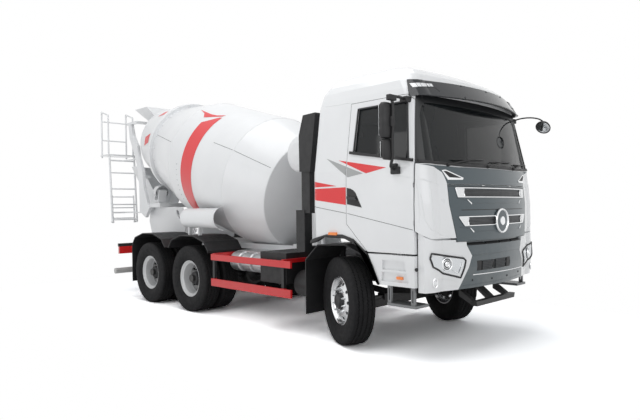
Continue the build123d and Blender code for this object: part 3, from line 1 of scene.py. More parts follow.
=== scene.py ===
"""Finish and fine parts of a three-axle concrete mixer truck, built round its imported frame.

Lengths are in metres. Places along the truck are counted from the front axle, as in the frame's
own source, and `spot` moves them to the shared origin on the ground under the vehicle's middle.
"""
import json
import math

import bpy
import bmesh
from mathutils import Matrix, Vector
from mathutils.bvhtree import BVHTree


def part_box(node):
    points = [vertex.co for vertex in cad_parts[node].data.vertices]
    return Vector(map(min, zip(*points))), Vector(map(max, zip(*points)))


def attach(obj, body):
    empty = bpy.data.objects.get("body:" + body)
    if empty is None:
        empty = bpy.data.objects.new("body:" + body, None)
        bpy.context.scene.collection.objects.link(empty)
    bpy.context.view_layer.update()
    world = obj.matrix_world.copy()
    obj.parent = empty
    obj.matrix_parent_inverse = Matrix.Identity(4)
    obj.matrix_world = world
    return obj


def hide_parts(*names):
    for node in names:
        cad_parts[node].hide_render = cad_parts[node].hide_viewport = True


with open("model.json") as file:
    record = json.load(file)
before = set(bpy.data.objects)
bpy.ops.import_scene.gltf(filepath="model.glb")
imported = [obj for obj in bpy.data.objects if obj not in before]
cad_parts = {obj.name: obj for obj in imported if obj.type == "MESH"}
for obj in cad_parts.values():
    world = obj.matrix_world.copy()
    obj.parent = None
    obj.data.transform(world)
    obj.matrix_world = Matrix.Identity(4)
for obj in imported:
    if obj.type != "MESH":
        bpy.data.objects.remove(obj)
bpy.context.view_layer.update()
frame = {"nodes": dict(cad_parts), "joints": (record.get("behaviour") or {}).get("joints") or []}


def middle(node):
    """The middle of a node's box."""
    low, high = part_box(node)
    return (Vector(low) + Vector(high)) / 2


AXLE_Y = (middle("tyre_front_right").y + middle("tyre_front_left").y) / 2


def spot(x, y, z):
    """A point whose y is counted from the front axle."""
    return Vector((x, y + AXLE_Y, z))


def around(count, radius=1.0, shift=0.0):
    """Even places on a circle, as (across, up) pairs."""
    turns = [2 * math.pi * (k + shift) / count for k in range(count)]
    return [(radius * math.cos(turn), radius * math.sin(turn)) for turn in turns]


def linked(obj):
    """The object, put into the scene."""
    bpy.context.scene.collection.objects.link(obj)
    return obj


# ---------------------------------------------------------------- node trees
def wire(tree, node, **links):
    """Link or set a node's inputs; spaces in their names are written as underscores."""
    for label, value in links.items():
        join(tree, value, node.inputs[label.replace("_", " ")])
    return node


def join(tree, value, socket):
    """Link a socket to an input, or set the input to a plain value."""
    if isinstance(value, bpy.types.NodeSocket):
        tree.links.new(value, socket)
    else:
        socket.default_value = value


def add(tree, kind, **links):
    """A new node with its inputs linked or set."""
    return wire(tree, tree.nodes.new(kind), **links)


def math_node(tree, operation, first, second):
    """One sum on two values."""
    node = tree.nodes.new("ShaderNodeMath")
    node.operation = operation
    join(tree, first, node.inputs[0])
    join(tree, second, node.inputs[1])
    return node.outputs[0]


def vector_node(tree, operation, first, second=None):
    """One sum on vectors; the node itself is given back, since its result may be a vector or a value."""
    node = tree.nodes.new("ShaderNodeVectorMath")
    node.operation = operation
    join(tree, first, node.inputs[0])
    if second is not None:
        node.inputs[1].default_value = second
    return node


def mix_shaders(tree, share, first, second):
    """Two shaders mixed by a share."""
    mix = add(tree, "ShaderNodeMixShader", Fac=share)
    tree.links.new(first, mix.inputs[1])
    tree.links.new(second, mix.inputs[2])
    return mix.outputs[0]


def object_place(tree):
    """The socket that gives a point's place on the truck."""
    return tree.nodes.new("ShaderNodeTexCoord").outputs["Object"]


# ---------------------------------------------------------------- camera, floor and light
EYE = spot(-5.8872, -4.6679, 1.691)
YAW, PITCH, ROLL = -46.119, -0.743, -0.6326      # degrees
FOCAL, SENSOR = 31.197, 36.0
SHIFT = (-0.04525, 0.00444)
FOOTPRINT = (1.25, 4.3, 0.0)          # half the ground the truck covers
FADE = (0.15, 1.9)                    # how far from it the floor starts and ends turning white
WHITE, SOFT_SKY = (1, 1, 1, 1), (0.93, 0.96, 1.0, 1)
FLOOR_LIT = (0.90, 0.90, 0.90, 1)     # the floor as the truck's own light meets it
FLOOR_SEEN = (2.3, 2.3, 2.3, 1)       # the floor as the camera sees it


def place_camera():
    """The camera at head height off the truck's right front corner."""
    camera = linked(bpy.data.objects.new("camera", bpy.data.cameras.new("camera")))
    camera.data.sensor_width = SENSOR
    camera.data.lens = FOCAL
    camera.data.shift_x, camera.data.shift_y = SHIFT
    camera.data.clip_end = 400
    yaw, pitch = math.radians(YAW), math.radians(PITCH)
    look = Vector((-math.sin(yaw) * math.cos(pitch), math.cos(yaw) * math.cos(pitch), math.sin(pitch)))
    turn = look.to_track_quat("-Z", "Y").to_matrix() @ Matrix.Rotation(math.radians(ROLL), 3, "Z")
    camera.matrix_world = Matrix.Translation(EYE) @ turn.to_4x4()
    bpy.context.scene.camera = camera


def lay_floor():
    """A wide pale floor that keeps the truck's shadow and turns plain white a few steps away from it."""
    bpy.ops.mesh.primitive_plane_add(size=240, location=(0, 0, 0))
    floor = bpy.context.object
    floor.name = "floor"
    mat = bpy.data.materials.new("studio_floor")
    mat.use_nodes = True
    tree = mat.node_tree
    tree.nodes.clear()
    matt = add(tree, "ShaderNodeBsdfDiffuse", Color=FLOOR_LIT).outputs[0]
    seen_matt = add(tree, "ShaderNodeBsdfDiffuse", Color=FLOOR_SEEN).outputs[0]
    path = tree.nodes.new("ShaderNodeLightPath")
    lit = mix_shaders(tree, path.outputs["Is Camera Ray"], matt, seen_matt)
    glow = add(tree, "ShaderNodeEmission", Color=WHITE).outputs[0]
    place = vector_node(tree, "ABSOLUTE", object_place(tree)).outputs[0]
    beyond = vector_node(tree, "SUBTRACT", place, FOOTPRINT).outputs[0]
    outside = vector_node(tree, "MAXIMUM", beyond, (0, 0, 0)).outputs[0]
    away = vector_node(tree, "LENGTH", outside).outputs["Value"]
    fade = add(tree, "ShaderNodeMapRange", Value=away, From_Min=FADE[0], From_Max=FADE[1])
    fade.interpolation_type = "SMOOTHSTEP"
    add(tree, "ShaderNodeOutputMaterial", Surface=mix_shaders(tree, fade.outputs["Result"], lit, glow))
    floor.data.materials.append(mat)


def softbox(name, place, aim, size, power):
    """A large rectangular lamp turned towards a point."""
    lamp = linked(bpy.data.objects.new(name, bpy.data.lights.new(name, "AREA")))
    lamp.data.shape = "RECTANGLE"
    lamp.data.size, lamp.data.size_y = size
    lamp.data.energy = power
    lamp.location = place
    lamp.rotation_mode = "QUATERNION"
    lamp.rotation_quaternion = (Vector(aim) - Vector(place)).to_track_quat("-Z", "Y")


def light_studio():
    """White surroundings to the eye that light the truck softly, and three broad lamps."""
    world = bpy.data.worlds.new("studio")
    bpy.context.scene.world = world
    world.use_nodes = True
    tree = world.node_tree
    tree.nodes.clear()
    path = tree.nodes.new("ShaderNodeLightPath").outputs
    seen = math_node(tree, "MAXIMUM", path["Is Camera Ray"], path["Is Transmission Ray"])
    bright = math_node(tree, "MAXIMUM", seen, path["Is Glossy Ray"])
    soft = add(tree, "ShaderNodeBackground", Color=SOFT_SKY, Strength=0.30).outputs[0]
    plain = add(tree, "ShaderNodeBackground", Color=WHITE).outputs[0]
    add(tree, "ShaderNodeOutputWorld", Surface=mix_shaders(tree, bright, soft, plain))
    softbox("top_light", (-1.5, -1.0, 9.0), (0, 0, 0), (7, 11), 470)
    softbox("front_light", (-4.5, -13, 5.0), (0, -2, 1.2), (8, 6), 240)
    softbox("side_light", (-12, 1.0, 4.5), (0, 1, 1.5), (10, 5), 200)


# ---------------------------------------------------------------- finishes
ROAD_DUST = (0.55, 0.52, 0.47)
DUSTY_FROM, DUSTY_TO = 0.3, 1.5       # heights between which the dust thins out


def new_finish(name):
    """A new node material, its tree and its principled shader."""
    mat = bpy.data.materials.new(name)
    mat.use_nodes = True
    return mat, mat.node_tree, mat.node_tree.nodes["Principled BSDF"]


def speckle(tree, scale, detail=4.0, rough=0.55, place=None):
    """A noise pattern over the object's own space."""
    return add(tree, "ShaderNodeTexNoise", Scale=scale, Detail=detail, Roughness=rough,
               Vector=place or object_place(tree)).outputs["Fac"]


def remap(tree, value, low, high, to_low, to_high):
    """A value moved from one span to another."""
    return add(tree, "ShaderNodeMapRange", Value=value, From_Min=low, From_Max=high, To_Min=to_low,
               To_Max=to_high).outputs["Result"]


def blend_colour(tree, share, first, second):
    """Two colours mixed by a share; each may be a colour or another socket."""
    mix = tree.nodes.new("ShaderNodeMix")
    mix.data_type = "RGBA"
    for label, colour in (("A", first), ("B", second)):
        join(tree, (*colour, 1) if isinstance(colour, tuple) else colour, mix.inputs[label])
    tree.links.new(share, mix.inputs["Factor"])
    return mix.outputs["Result"]


def shaded(colour, share):
    """A colour made darker or lighter."""
    return tuple(min(1, part * share) for part in colour)


def add_bump(tree, shader, height, strength, distance):
    """A bump on the shader from a height socket."""
    bump = add(tree, "ShaderNodeBump", Strength=strength, Distance=distance, Height=height)
    wire(tree, shader, Normal=bump.outputs["Normal"])


def sprayed_paint(name, colour, roughness=0.32, coat=0.6, dusty=0.10):
    """Lacquered paint: faint orange peel, a little road dust low down, cloudy tone."""
    mat, tree, shader = new_finish(name)
    cloud = speckle(tree, 1.7, 5.0)
    toned = blend_colour(tree, remap(tree, cloud, 0.35, 0.7, 0, 1), colour, shaded(colour, 0.955))
    height = add(tree, "ShaderNodeSeparateXYZ", Vector=object_place(tree)).outputs["Z"]
    low_down = remap(tree, remap(tree, height, DUSTY_FROM, DUSTY_TO, 0, 1), 0, 1, dusty, 0.0)
    specks = remap(tree, speckle(tree, 9.0, 6.0, 0.65), 0.35, 0.75, 0.15, 1.6)
    grime = math_node(tree, "MULTIPLY", low_down, specks)
    wire(tree, shader, Base_Color=blend_colour(tree, grime, toned, ROAD_DUST), Coat_Weight=coat,
         Roughness=remap(tree, cloud, 0.3, 0.8, roughness * 0.85, roughness * 1.25), Coat_Roughness=0.08)
    add_bump(tree, shader, speckle(tree, 160.0, 2.0), 0.05, 0.0004)
    return mat


def moulded_plastic(name, colour, roughness=0.55, grain=90.0, grain_depth=0.0006, worn=0.5):
    """Grained moulding with paler rubbed patches."""
    mat, tree, shader = new_finish(name)
    patch = remap(tree, speckle(tree, 2.3, 6.0, 0.6), 0.42, 0.75, 0.0, worn)
    paler = tuple(part * 1.5 + 0.008 for part in colour)
    uneven = remap(tree, speckle(tree, 14.0, 4.0), 0.3, 0.7, roughness * 0.85, roughness * 1.15)
    wire(tree, shader, Base_Color=blend_colour(tree, patch, colour, paler), Roughness=uneven)
    add_bump(tree, shader, speckle(tree, grain, 3.0), 0.35, grain_depth)
    return mat


def bare_metal(name, colour, roughness=0.3, streaks=(4.0, 60.0, 60.0), metal=1.0):
    """Brushed or drawn metal: fine streaks in roughness and a slight stain."""
    mat, tree, shader = new_finish(name)
    stretch = add(tree, "ShaderNodeMapping", Scale=streaks, Vector=object_place(tree))
    lines = speckle(tree, 3.0, 5.0, 0.6, stretch.outputs["Vector"])
    stain = remap(tree, speckle(tree, 3.1, 5.0), 0.45, 0.8, 0, 0.45)
    wire(tree, shader, Base_Color=blend_colour(tree, stain, colour, shaded(colour, 0.72)), Metallic=metal,
         Roughness=remap(tree, lines, 0.3, 0.7, roughness * 0.75, roughness * 1.4))
    add_bump(tree, shader, lines, 0.12, 0.0003)
    return mat


def rubber(name, colour=(0.007, 0.007, 0.008), roughness=0.78, dusty=0.25):
    """Tyre rubber: matt, slightly grey with dust, fine pores."""
    mat, tree, shader = new_finish(name)
    share = remap(tree, speckle(tree, 5.0, 7.0, 0.7), 0.4, 0.75, 0.0, dusty)
    uneven = remap(tree, speckle(tree, 25.0, 4.0), 0.3, 0.7, roughness * 0.85, roughness * 1.1)
    wire(tree, shader, Base_Color=blend_colour(tree, share, colour, (0.035, 0.034, 0.032)),
         Roughness=uneven, Specular_IOR_Level=0.25)
    add_bump(tree, shader, speckle(tree, 220.0, 3.0), 0.3, 0.0005)
    return mat


def dark_glass(name, colour, alpha):
    """Tinted toughened glass that shows a dim inside."""
    mat, tree, shader = new_finish(name)
    haze = remap(tree, speckle(tree, 1.1, 3.0), 0.3, 0.8, 0.0, 1.0)
    wire(tree, shader, Base_Color=blend_colour(tree, haze, colour, shaded(colour, 1.5)), Roughness=0.03,
         Alpha=alpha)
    add_bump(tree, shader, speckle(tree, 0.9, 1.0), 0.02, 0.01)
    return mat


def lamp_lens(name, colour):
    """A moulded lens with fine upright flutes."""
    mat, tree, shader = new_finish(name)
    wave = add(tree, "ShaderNodeTexWave", Scale=28.0, Distortion=0.4,
               Vector=object_place(tree)).outputs["Fac"]
    wire(tree, shader, Base_Color=blend_colour(tree, wave, colour, shaded(colour, 1.35)), Roughness=0.08,
         Coat_Weight=1.0, Emission_Color=(*colour, 1), Emission_Strength=0.0)
    add_bump(tree, shader, wave, 0.25, 0.0015)
    return mat


CAB_WHITE = sprayed_paint("cab_white", (0.80, 0.81, 0.82))
MASK_BLUE = sprayed_paint("slate_blue", (0.045, 0.068, 0.080), 0.36, 0.5, 0.12)
DRUM_WHITE = sprayed_paint("drum_white", (0.78, 0.79, 0.80), 0.38, 0.35, 0.05)
SIGNAL_RED = sprayed_paint("signal_red", (0.60, 0.008, 0.012), 0.36, 0.3, 0.03)
MARK_RED = sprayed_paint("drum_red", (0.70, 0.016, 0.022), 0.36, 0.4, 0.03)
RED_FILM = sprayed_paint("red_film", (0.72, 0.012, 0.016), 0.3, 0.5, 0.0)
GREY_FILM = sprayed_paint("grey_film", (0.36, 0.37, 0.37), 0.35, 0.4, 0.0)
BLACK_PAINT = sprayed_paint("chassis_black", (0.009, 0.009, 0.010), 0.5, 0.15, 0.03)
RIM_WHITE = sprayed_paint("rim_silver", (0.62, 0.63, 0.64), 0.34, 0.3, 0.20)
# darker grey for the twin wheels' deep dish face: painted shade deep inside the wheel, with some dust
DEEP_DISH_SHADE_GREY = sprayed_paint("deep_dish_painted_shade", (0.20, 0.205, 0.21), 0.45, 0.2, 0.25)
BLACK_PLASTIC = moulded_plastic("black_plastic", (0.008, 0.008, 0.009), worn=0.25)
DARK_TRIM = moulded_plastic("dark_trim", (0.016, 0.017, 0.019), roughness=0.42, grain=60.0, worn=0.3)
# dark grey for seams, gaps and bars, and for the painted shade line in the flank crease
SEAM_AND_SHADE_GREY = moulded_plastic("seam_and_shade_grey", (0.10, 0.105, 0.11), roughness=0.7)
SEAT_CLOTH = moulded_plastic("seat_cloth", (0.06, 0.065, 0.075), roughness=0.9, grain=240.0,
        grain_depth=0.001)
ALLOY = bare_metal("forged_alloy", (0.74, 0.75, 0.76), 0.22)
BRIGHT_STEEL = bare_metal("bright_steel", (0.60, 0.61, 0.62), 0.25)
CHROME = bare_metal("chrome", (0.86, 0.87, 0.88), 0.09)
TANK_METAL = bare_metal("tank_metal", (0.62, 0.63, 0.64), 0.32)
DARK_IRON = bare_metal("dark_iron", (0.06, 0.06, 0.062), 0.5, metal=0.6)
LAMP_BOWL = bare_metal("lamp_bowl", (0.66, 0.68, 0.70), 0.14, (18.0, 2.0, 18.0), 0.8)
MIRROR_GLASS = bare_metal("mirror_glass", (0.85, 0.87, 0.88), 0.03)
TYRE = rubber("tyre_tread")
CAB_GLASS = dark_glass("cab_glass", (0.005, 0.007, 0.008), 0.62)
VISOR_SMOKE = dark_glass("visor_smoke", (0.02, 0.022, 0.025), 0.93)
ORANGE_LENS = lamp_lens("orange_lens", (0.85, 0.20, 0.02))
CLEAR_LENS = lamp_lens("clear_lens", (0.75, 0.77, 0.79))
RED_LENS = lamp_lens("red_lens", (0.6, 0.02, 0.02))


# ---------------------------------------------------------------- shaping helpers
def tidy_mesh(bm, name, smooth=32):
    """A mesh from a bmesh: doubles merged, faces turned outwards, edges kept crisp past an angle."""
    bmesh.ops.remove_doubles(bm, verts=bm.verts, dist=1e-5)
    bmesh.ops.recalc_face_normals(bm, faces=bm.faces)
    mesh = bpy.data.meshes.new(name)
    bm.to_mesh(mesh)
    bm.free()
    soften_edges(mesh, smooth)
    return mesh


def soften_edges(mesh, angle):
    """Smooth shading that stays crisp past an angle."""
    mesh.polygons.foreach_set("use_smooth", [True] * len(mesh.polygons))
    mesh.set_sharp_from_angle(angle=math.radians(angle))


def settle(obj):
    """Turn an object's modifiers into plain mesh."""
    graph = bpy.context.evaluated_depsgraph_get()
    mesh = bpy.data.meshes.new_from_object(obj.evaluated_get(graph), depsgraph=graph)
    obj.modifiers.clear()
    obj.data = mesh


def dress(obj, finish, body):
    """The finish, the body and the slot of a piece."""
    obj.data.materials.clear()
    obj.data.materials.append(finish)
    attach(obj, body)
    return obj


def place_piece(name, mesh, finish, body, bevel=0.0, rounds=2):
    """An object on a body, with its finish and, where wanted, rounded edges."""
    obj = linked(bpy.data.objects.new(name, mesh))
    if bevel:
        edge = obj.modifiers.new("rounded edges", "BEVEL")
        edge.width, edge.segments, edge.limit_method = bevel, rounds, "ANGLE"
        edge.angle_limit = math.radians(40)
        settle(obj)
        soften_edges(obj.data, 35)
    return dress(obj, finish, body)


def ring_of(points, centre, first, second):
    """Points of a closed section set at a centre along two directions."""
    return [centre + first * a + second * b for a, b in points]


def bridge(bm, rings, capped=True):
    """Walls between rings of equal size."""
    rows = [[bm.verts.new(point) for point in ring] for ring in rings]
    count = len(rows[0])
    for lower, upper in zip(rows, rows[1:]):
        for index in range(count):
            after = (index + 1) % count
            bm.faces.new((lower[index], lower[after], upper[after], upper[index]))
    if capped:
        bm.faces.new(rows[0][::-1])
        bm.faces.new(rows[-1])


def add_block(bm, low, high):
    """A block between two corners."""
    (x0, y0, z0), (x1, y1, z1) = low, high
    outline = [(x0, y0), (x1, y0), (x1, y1), (x0, y1)]
    bridge(bm, [[Vector((x, y, z)) for x, y in outline] for z in (z0, z1)])


def add_turned(bm, profile, centre, axis, count=48, capped=False):
    """A profile of (along, radius) points turned round an axis."""
    axis = Vector(axis).normalized()
    first = axis.orthogonal().normalized()
    second = axis.cross(first)
    spokes = around(count)
    rings = []
    for along, radius in profile:
        section = [(c * max(radius, 1e-4), s * max(radius, 1e-4)) for c, s in spokes]
        rings.append(ring_of(section, Vector(centre) + axis * along, first, second))
    bridge(bm, rings, capped=capped)


def turned(name, jobs, smooth=32):
    """A mesh of turned profiles, each given as the arguments of add_turned."""
    bm = bmesh.new()
    for job in jobs:
        add_turned(bm, *job)
    return tidy_mesh(bm, name, smooth)


def softened(points, steps):
    """A smooth path through given points."""
    points = [Vector(point) for point in points]
    ends = [points[0] * 2 - points[1], *points, points[-1] * 2 - points[-2]]
    path = []
    for before, here, after, beyond in zip(ends, ends[1:], ends[2:], ends[3:]):
        for step in range(steps):
            t = step / steps
            path.append(0.5 * (2 * here + (after - before) * t
                               + (2 * before - 5 * here + 4 * after - beyond) * t ** 2
                               + (3 * here - before - 3 * after + beyond) * t ** 3))
    return path + [points[-1]]


def add_tube(bm, path, radius, count):
    """A round section carried along a path without twist."""
    path = [Vector(point) for point in path]
    first = (path[1] - path[0]).normalized().orthogonal().normalized()
    rings = []
    for index, here in enumerate(path):
        before, after = path[max(index - 1, 0)], path[min(index + 1, len(path) - 1)]
        heading = (after - before).normalized()
        first = (first - heading * first.dot(heading)).normalized()
        rings.append(ring_of(around(count, radius), here, first, heading.cross(first)))
    bridge(bm, rings)


def mirror_of(bm):
    """Add the same shape on the truck's other side."""
    both = bmesh.ops.duplicate(bm, geom=bm.verts[:] + bm.edges[:] + bm.faces[:])["geom"]
    for item in both:
        if isinstance(item, bmesh.types.BMVert):
            item.co.x = -item.co.x
    bmesh.ops.reverse_faces(bm, faces=[item for item in both if isinstance(item, bmesh.types.BMFace)])


# ---------------------------------------------------------------- tyres and wheels
TYRE_R, TYRE_W = 0.535, 0.290
BEAD_R = 0.292
DISC_X = TYRE_W * 0.36                # rim edge from the wheel's middle
PITCHES = 84                          # tread pitches round a tyre
GROOVES = (0.082, 0.030, -0.030, -0.082)
GROOVE_W, GROOVE_D = 0.011, 0.014
ZIGZAG = 0.0065
NOTCH = 0.006
STUDS, STUD_CIRCLE = 10, 0.1675
TWIN_FACE = -0.092                    # a twin wheel's disc from its tyre's middle
OUTWARDS = Vector((1, 0, 0))          # a wheel's axis in its own pose


def tyre_section():
    """One side to the other over the tread: (across, radius, kind) where kind says how it zigzags."""
    half = TYRE_W / 2
    side = [(0.72, BEAD_R + 0.002), (0.8, BEAD_R + 0.012), (0.9, BEAD_R + 0.045), (0.905, BEAD_R + 0.05),
            (0.93, BEAD_R + 0.056), (0.985, 0.385), (0.998, 0.415), (0.9985, 0.425), (0.992, 0.445),
            (0.985, 0.452), (0.975, 0.478), (0.955, 0.497), (0.925, 0.512)]
    right = [(half * share, radius, "side") for share, radius in side]
    right += [(0.130, 0.5225, "shoulder"), (0.126, 0.5275, "shoulder"), (0.118, 0.5325, "shoulder")]
    edge, floor = TYRE_R - 0.001, TYRE_R - GROOVE_D
    tread = [(middle_x + GROOVE_W * share, radius, "wave") for middle_x in GROOVES
             for share, radius in ((1 / 2, edge), (1 / 3, floor), (-1 / 3, floor), (-1 / 2, edge))]
    left = [(-x, radius, kind) for x, radius, kind in reversed(right)]
    return right + tread + left


def add_tyre(bm, place):
    """A ribbed road tyre: zigzag grooves, notched shoulders and ringed sidewalls."""
    rings = []
    for step, (c, s) in enumerate(around(PITCHES * 2)):
        ring = []
        for x, radius, kind in tyre_section():
            if kind == "wave":
                x += -ZIGZAG if step % 2 else ZIGZAG
            if kind == "shoulder" and step % 4 == 0:
                radius -= NOTCH
            ring.append(bm.verts.new(place @ Vector((x, radius * c, radius * s))))
        rings.append(ring)
    for here, after in zip(rings, rings[1:] + rings[:1]):
        for index in range(len(here) - 1):
            bm.faces.new((here[index], here[index + 1], after[index + 1], after[index]))
        bm.faces.new((here[-1], here[0], after[0], after[-1]))


def wheel_pose(node, outward):
    """Where a wheel stands: its middle, turned so that +X points outwards."""
    if "front" not in node:
        turn = Matrix.Identity(3) if outward > 0 else Matrix.Rotation(math.pi, 3, "Z")
        return Matrix.Translation(middle(node)) @ turn.to_4x4()
    axis = Vector(next((j["axis"] for j in frame["joints"] if j["child"] == "wheel_"
                        + node.replace("tyre_", ""))))
    axis = axis if axis.x * outward > 0 else -axis
    return Matrix.Translation(middle(node)) @ axis.to_track_quat("X", "Z").to_matrix().to_4x4()


def turned_on(place, profile, count=48):
    """The job of turning a profile round a wheel's own axis."""
    return profile, place @ Vector(), place.to_3x3() @ OUTWARDS, count


def bolts_on(place, profile, across, circle, count=STUDS, shift=0.0, sides=6):
    """Jobs for the same small turned part at even steps on a circle round a wheel's axis."""
    return [(profile, place @ Vector((across, a, b)), place.to_3x3() @ OUTWARDS, sides, True)
            for a, b in around(count, circle, shift)]


def nuts_on(place, across, circle, reach=0.028, radius=0.016):
    """Wheel studs with their six-sided nuts on a circle."""
    nut = [(0, radius * 1.25), (0.004, radius * 1.25), (0.004, radius), (0.02, radius),
           (0.022, radius * 0.86), (0.022, radius * 0.55), (reach + 0.012, radius * 0.55),
           (reach + 0.014, radius * 0.35)]
    return bolts_on(place, nut, across, circle, shift=0.5)


def cut_holes(obj, place, circle, radius, across):
    """Round holes on a circle cut right through a wheel disc."""
    pins = bolts_on(place, [(0, radius), (0.3, radius)], across - 0.15, circle, sides=20)
    drill = linked(bpy.data.objects.new("drill", turned("drill", pins)))
    cut = obj.modifiers.new("holes", "BOOLEAN")
    cut.operation, cut.object, cut.solver = "DIFFERENCE", drill, "EXACT"
    settle(obj)
    bpy.data.objects.remove(drill, do_unlink=True)
    obj.data.set_sharp_from_angle(angle=math.radians(32))


def dress_front_wheel(side, outward):
    """Tyre, alloy disc with ten holes, barrel, hub and nuts of one steered wheel."""
    body = f"wheel_front_{side}"
    place = wheel_pose(f"tyre_front_{side}", outward)
    bm = bmesh.new()
    add_tyre(bm, place)
    tyre = place_piece(f"tread_front_{side}", tidy_mesh(bm, "tyre", 28), TYRE, body)
    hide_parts(f"tyre_front_{side}")
    face = [(DISC_X + 0.002, BEAD_R + 0.004), (DISC_X + 0.006, BEAD_R - 0.004),
            (DISC_X - 0.002, BEAD_R - 0.016), (DISC_X - 0.02, BEAD_R - 0.024),
            (DISC_X - 0.036, BEAD_R - 0.04), (DISC_X - 0.03, BEAD_R - 0.06), (DISC_X - 0.01, 0.195),
            (DISC_X - 0.004, 0.182), (DISC_X - 0.004, 0.112), (DISC_X - 0.016, 0.106)]
    back = [(DISC_X - 0.03, 0.106), (DISC_X - 0.03, 0.19), (DISC_X - 0.052, BEAD_R - 0.058),
            (DISC_X - 0.06, BEAD_R - 0.03), (DISC_X - 0.03, BEAD_R - 0.01),
            (DISC_X - 0.012, BEAD_R + 0.002)]
    disc = place_piece(f"disc_front_{side}", turned("disc", [turned_on(place, face + back + face[:1], 80)]),
                       ALLOY, body)
    cut_holes(disc, place, 0.213, 0.021, DISC_X)
    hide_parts(f"rim_front_{side}")
    barrel = [(DISC_X - 0.02, BEAD_R - 0.018), (DISC_X - 0.09, BEAD_R - 0.034),
              (-DISC_X + 0.03, BEAD_R - 0.034), (-DISC_X, BEAD_R - 0.004),
              (-DISC_X - 0.004, BEAD_R + 0.002), (-DISC_X - 0.004, BEAD_R - 0.012),
              (-DISC_X + 0.03, BEAD_R - 0.046), (DISC_X - 0.09, BEAD_R - 0.046),
              (DISC_X - 0.03, BEAD_R - 0.032)]
    ring = turned("barrel", [turned_on(place, barrel + barrel[:1], 64)])
    place_piece(f"barrel_front_{side}", ring, ALLOY, body)
    nuts = turned("nuts", nuts_on(place, DISC_X - 0.004, STUD_CIRCLE - 0.02), 25)
    place_piece(f"nuts_front_{side}", nuts, BRIGHT_STEEL, body)
    hub = [(DISC_X - 0.16, 0.1), (DISC_X - 0.01, 0.104), (DISC_X + 0.012, 0.1), (DISC_X + 0.016, 0.086),
           (DISC_X + 0.04, 0.08), (DISC_X + 0.046, 0.07), (DISC_X + 0.046, 0.03), (DISC_X + 0.05, 0.022),
           (DISC_X + 0.05, 0.0)]
    bolts = bolts_on(place, [(0, 0.006), (0.008, 0.006), (0.009, 0.004)], DISC_X + 0.014, 0.092, 8)
    place_piece(f"hub_front_{side}", turned("hub", [turned_on(place, hub), *bolts]), DARK_IRON, body)


def dress_twin_wheels(axle, side, outward):
    """Both tyres, the deep outer dish, the inner wheel, hub and nuts of one end of a drive axle."""
    body = f"wheel_{axle}_{side}"
    pose = wheel_pose(f"tyres_{axle}_{side}", outward)
    low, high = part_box(f"tyres_{axle}_{side}")
    spread = (high[0] - low[0] - TYRE_W) / 2
    outer, inner = (pose @ Matrix.Translation((shift, 0, 0)) for shift in (spread, -spread))
    bm = bmesh.new()
    add_tyre(bm, inner)
    add_tyre(bm, outer)
    tyres = place_piece(f"tread_{axle}_{side}", tidy_mesh(bm, "tyres", 28), TYRE, body)
    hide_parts(f"tyres_{axle}_{side}")
    lip = [(DISC_X + 0.002, BEAD_R + 0.004), (DISC_X + 0.007, BEAD_R - 0.002),
           (DISC_X + 0.003, BEAD_R - 0.012), (DISC_X - 0.016, BEAD_R - 0.022),
           (DISC_X - 0.03, BEAD_R - 0.044), (-0.01, BEAD_R - 0.05), (-0.04, BEAD_R - 0.052),
           (-0.052, BEAD_R - 0.058), (-0.06, BEAD_R - 0.042), (-0.01, BEAD_R - 0.038),
           (DISC_X - 0.034, BEAD_R - 0.03), (DISC_X - 0.012, BEAD_R - 0.004)]
    dish = [(-0.05, BEAD_R - 0.057), (-0.075, BEAD_R - 0.075), (-0.088, 0.196), (-0.092, 0.182),
            (-0.092, 0.115), (-0.108, 0.115), (-0.108, 0.19), (-0.092, BEAD_R - 0.07),
            (-0.058, BEAD_R - 0.045)]
    rim = place_piece(f"rim_{axle}_{side}", turned("rim", [turned_on(outer, lip + lip[:1], 80)]), RIM_WHITE,
                      body)
    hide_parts(f"rims_{axle}_{side}")
    # the dish face takes the darker grey as painted shade deep in the wheel
    disc = turned("dish", [turned_on(outer, dish + dish[:1], 80)])
    disc = place_piece(f"dish_{axle}_{side}", disc, DEEP_DISH_SHADE_GREY, body)
    cut_holes(disc, outer, 0.212, 0.024, -0.09)
    backs = [[(-x, r) for x, r in section + section[:1]] for section in (lip, dish)]
    inside = turned("inner", [turned_on(inner, back, 64) for back in backs])
    place_piece(f"inner_wheel_{axle}_{side}", inside, RIM_WHITE, body)
    hub = [(-0.30, 0.13), (-0.092, 0.128), (-0.060, 0.118), (-0.040, 0.112), (0.010, 0.104), (0.030, 0.098),
           (0.034, 0.090), (0.034, 0.070), (0.040, 0.060), (0.040, 0.0)]
    bolts = bolts_on(outer, [(0, 0.008), (0.010, 0.008), (0.012, 0.005)], 0.032, 0.083)
    place_piece(f"hub_{axle}_{side}", turned("hub", [turned_on(outer, hub), *bolts]), DARK_IRON, body)
    # the twin wheels' nuts are dark iron, unlike the bright front ones: painted shade deep in the dish
    nuts = turned("nuts", nuts_on(outer, TWIN_FACE, STUD_CIRCLE - 0.015), 25)
    place_piece(f"nuts_{axle}_{side}", nuts, DARK_IRON, body)


# ---------------------------------------------------------------- patterns made by node trees
def start_tree(name, sizes):
    """A geometry tree with a mesh in and out and an input for each size."""
    tree = bpy.data.node_groups.new(name, "GeometryNodeTree")
    for way in ("INPUT", "OUTPUT"):
        tree.interface.new_socket("Geometry", in_out=way, socket_type="NodeSocketGeometry")
    for label, size in sizes.items():
        kind = "NodeSocketInt" if isinstance(size, int) else "NodeSocketFloat"
        tree.interface.new_socket(label, in_out="INPUT", socket_type=kind).default_value = size
    return tree, tree.nodes.new("NodeGroupInput")


def end_tree(tree, geometry, finish, smooth=True):
    """Instances made real and painted."""
    real = add(tree, "GeometryNodeRealizeInstances", Geometry=geometry)
    shade = add(tree, "GeometryNodeSetShadeSmooth", Geometry=real.outputs[0], Shade_Smooth=smooth)
    paint = add(tree, "GeometryNodeSetMaterial", Geometry=shade.outputs[0], Material=finish)
    tree.links.new(paint.outputs[0], tree.nodes.new("NodeGroupOutput").inputs[0])


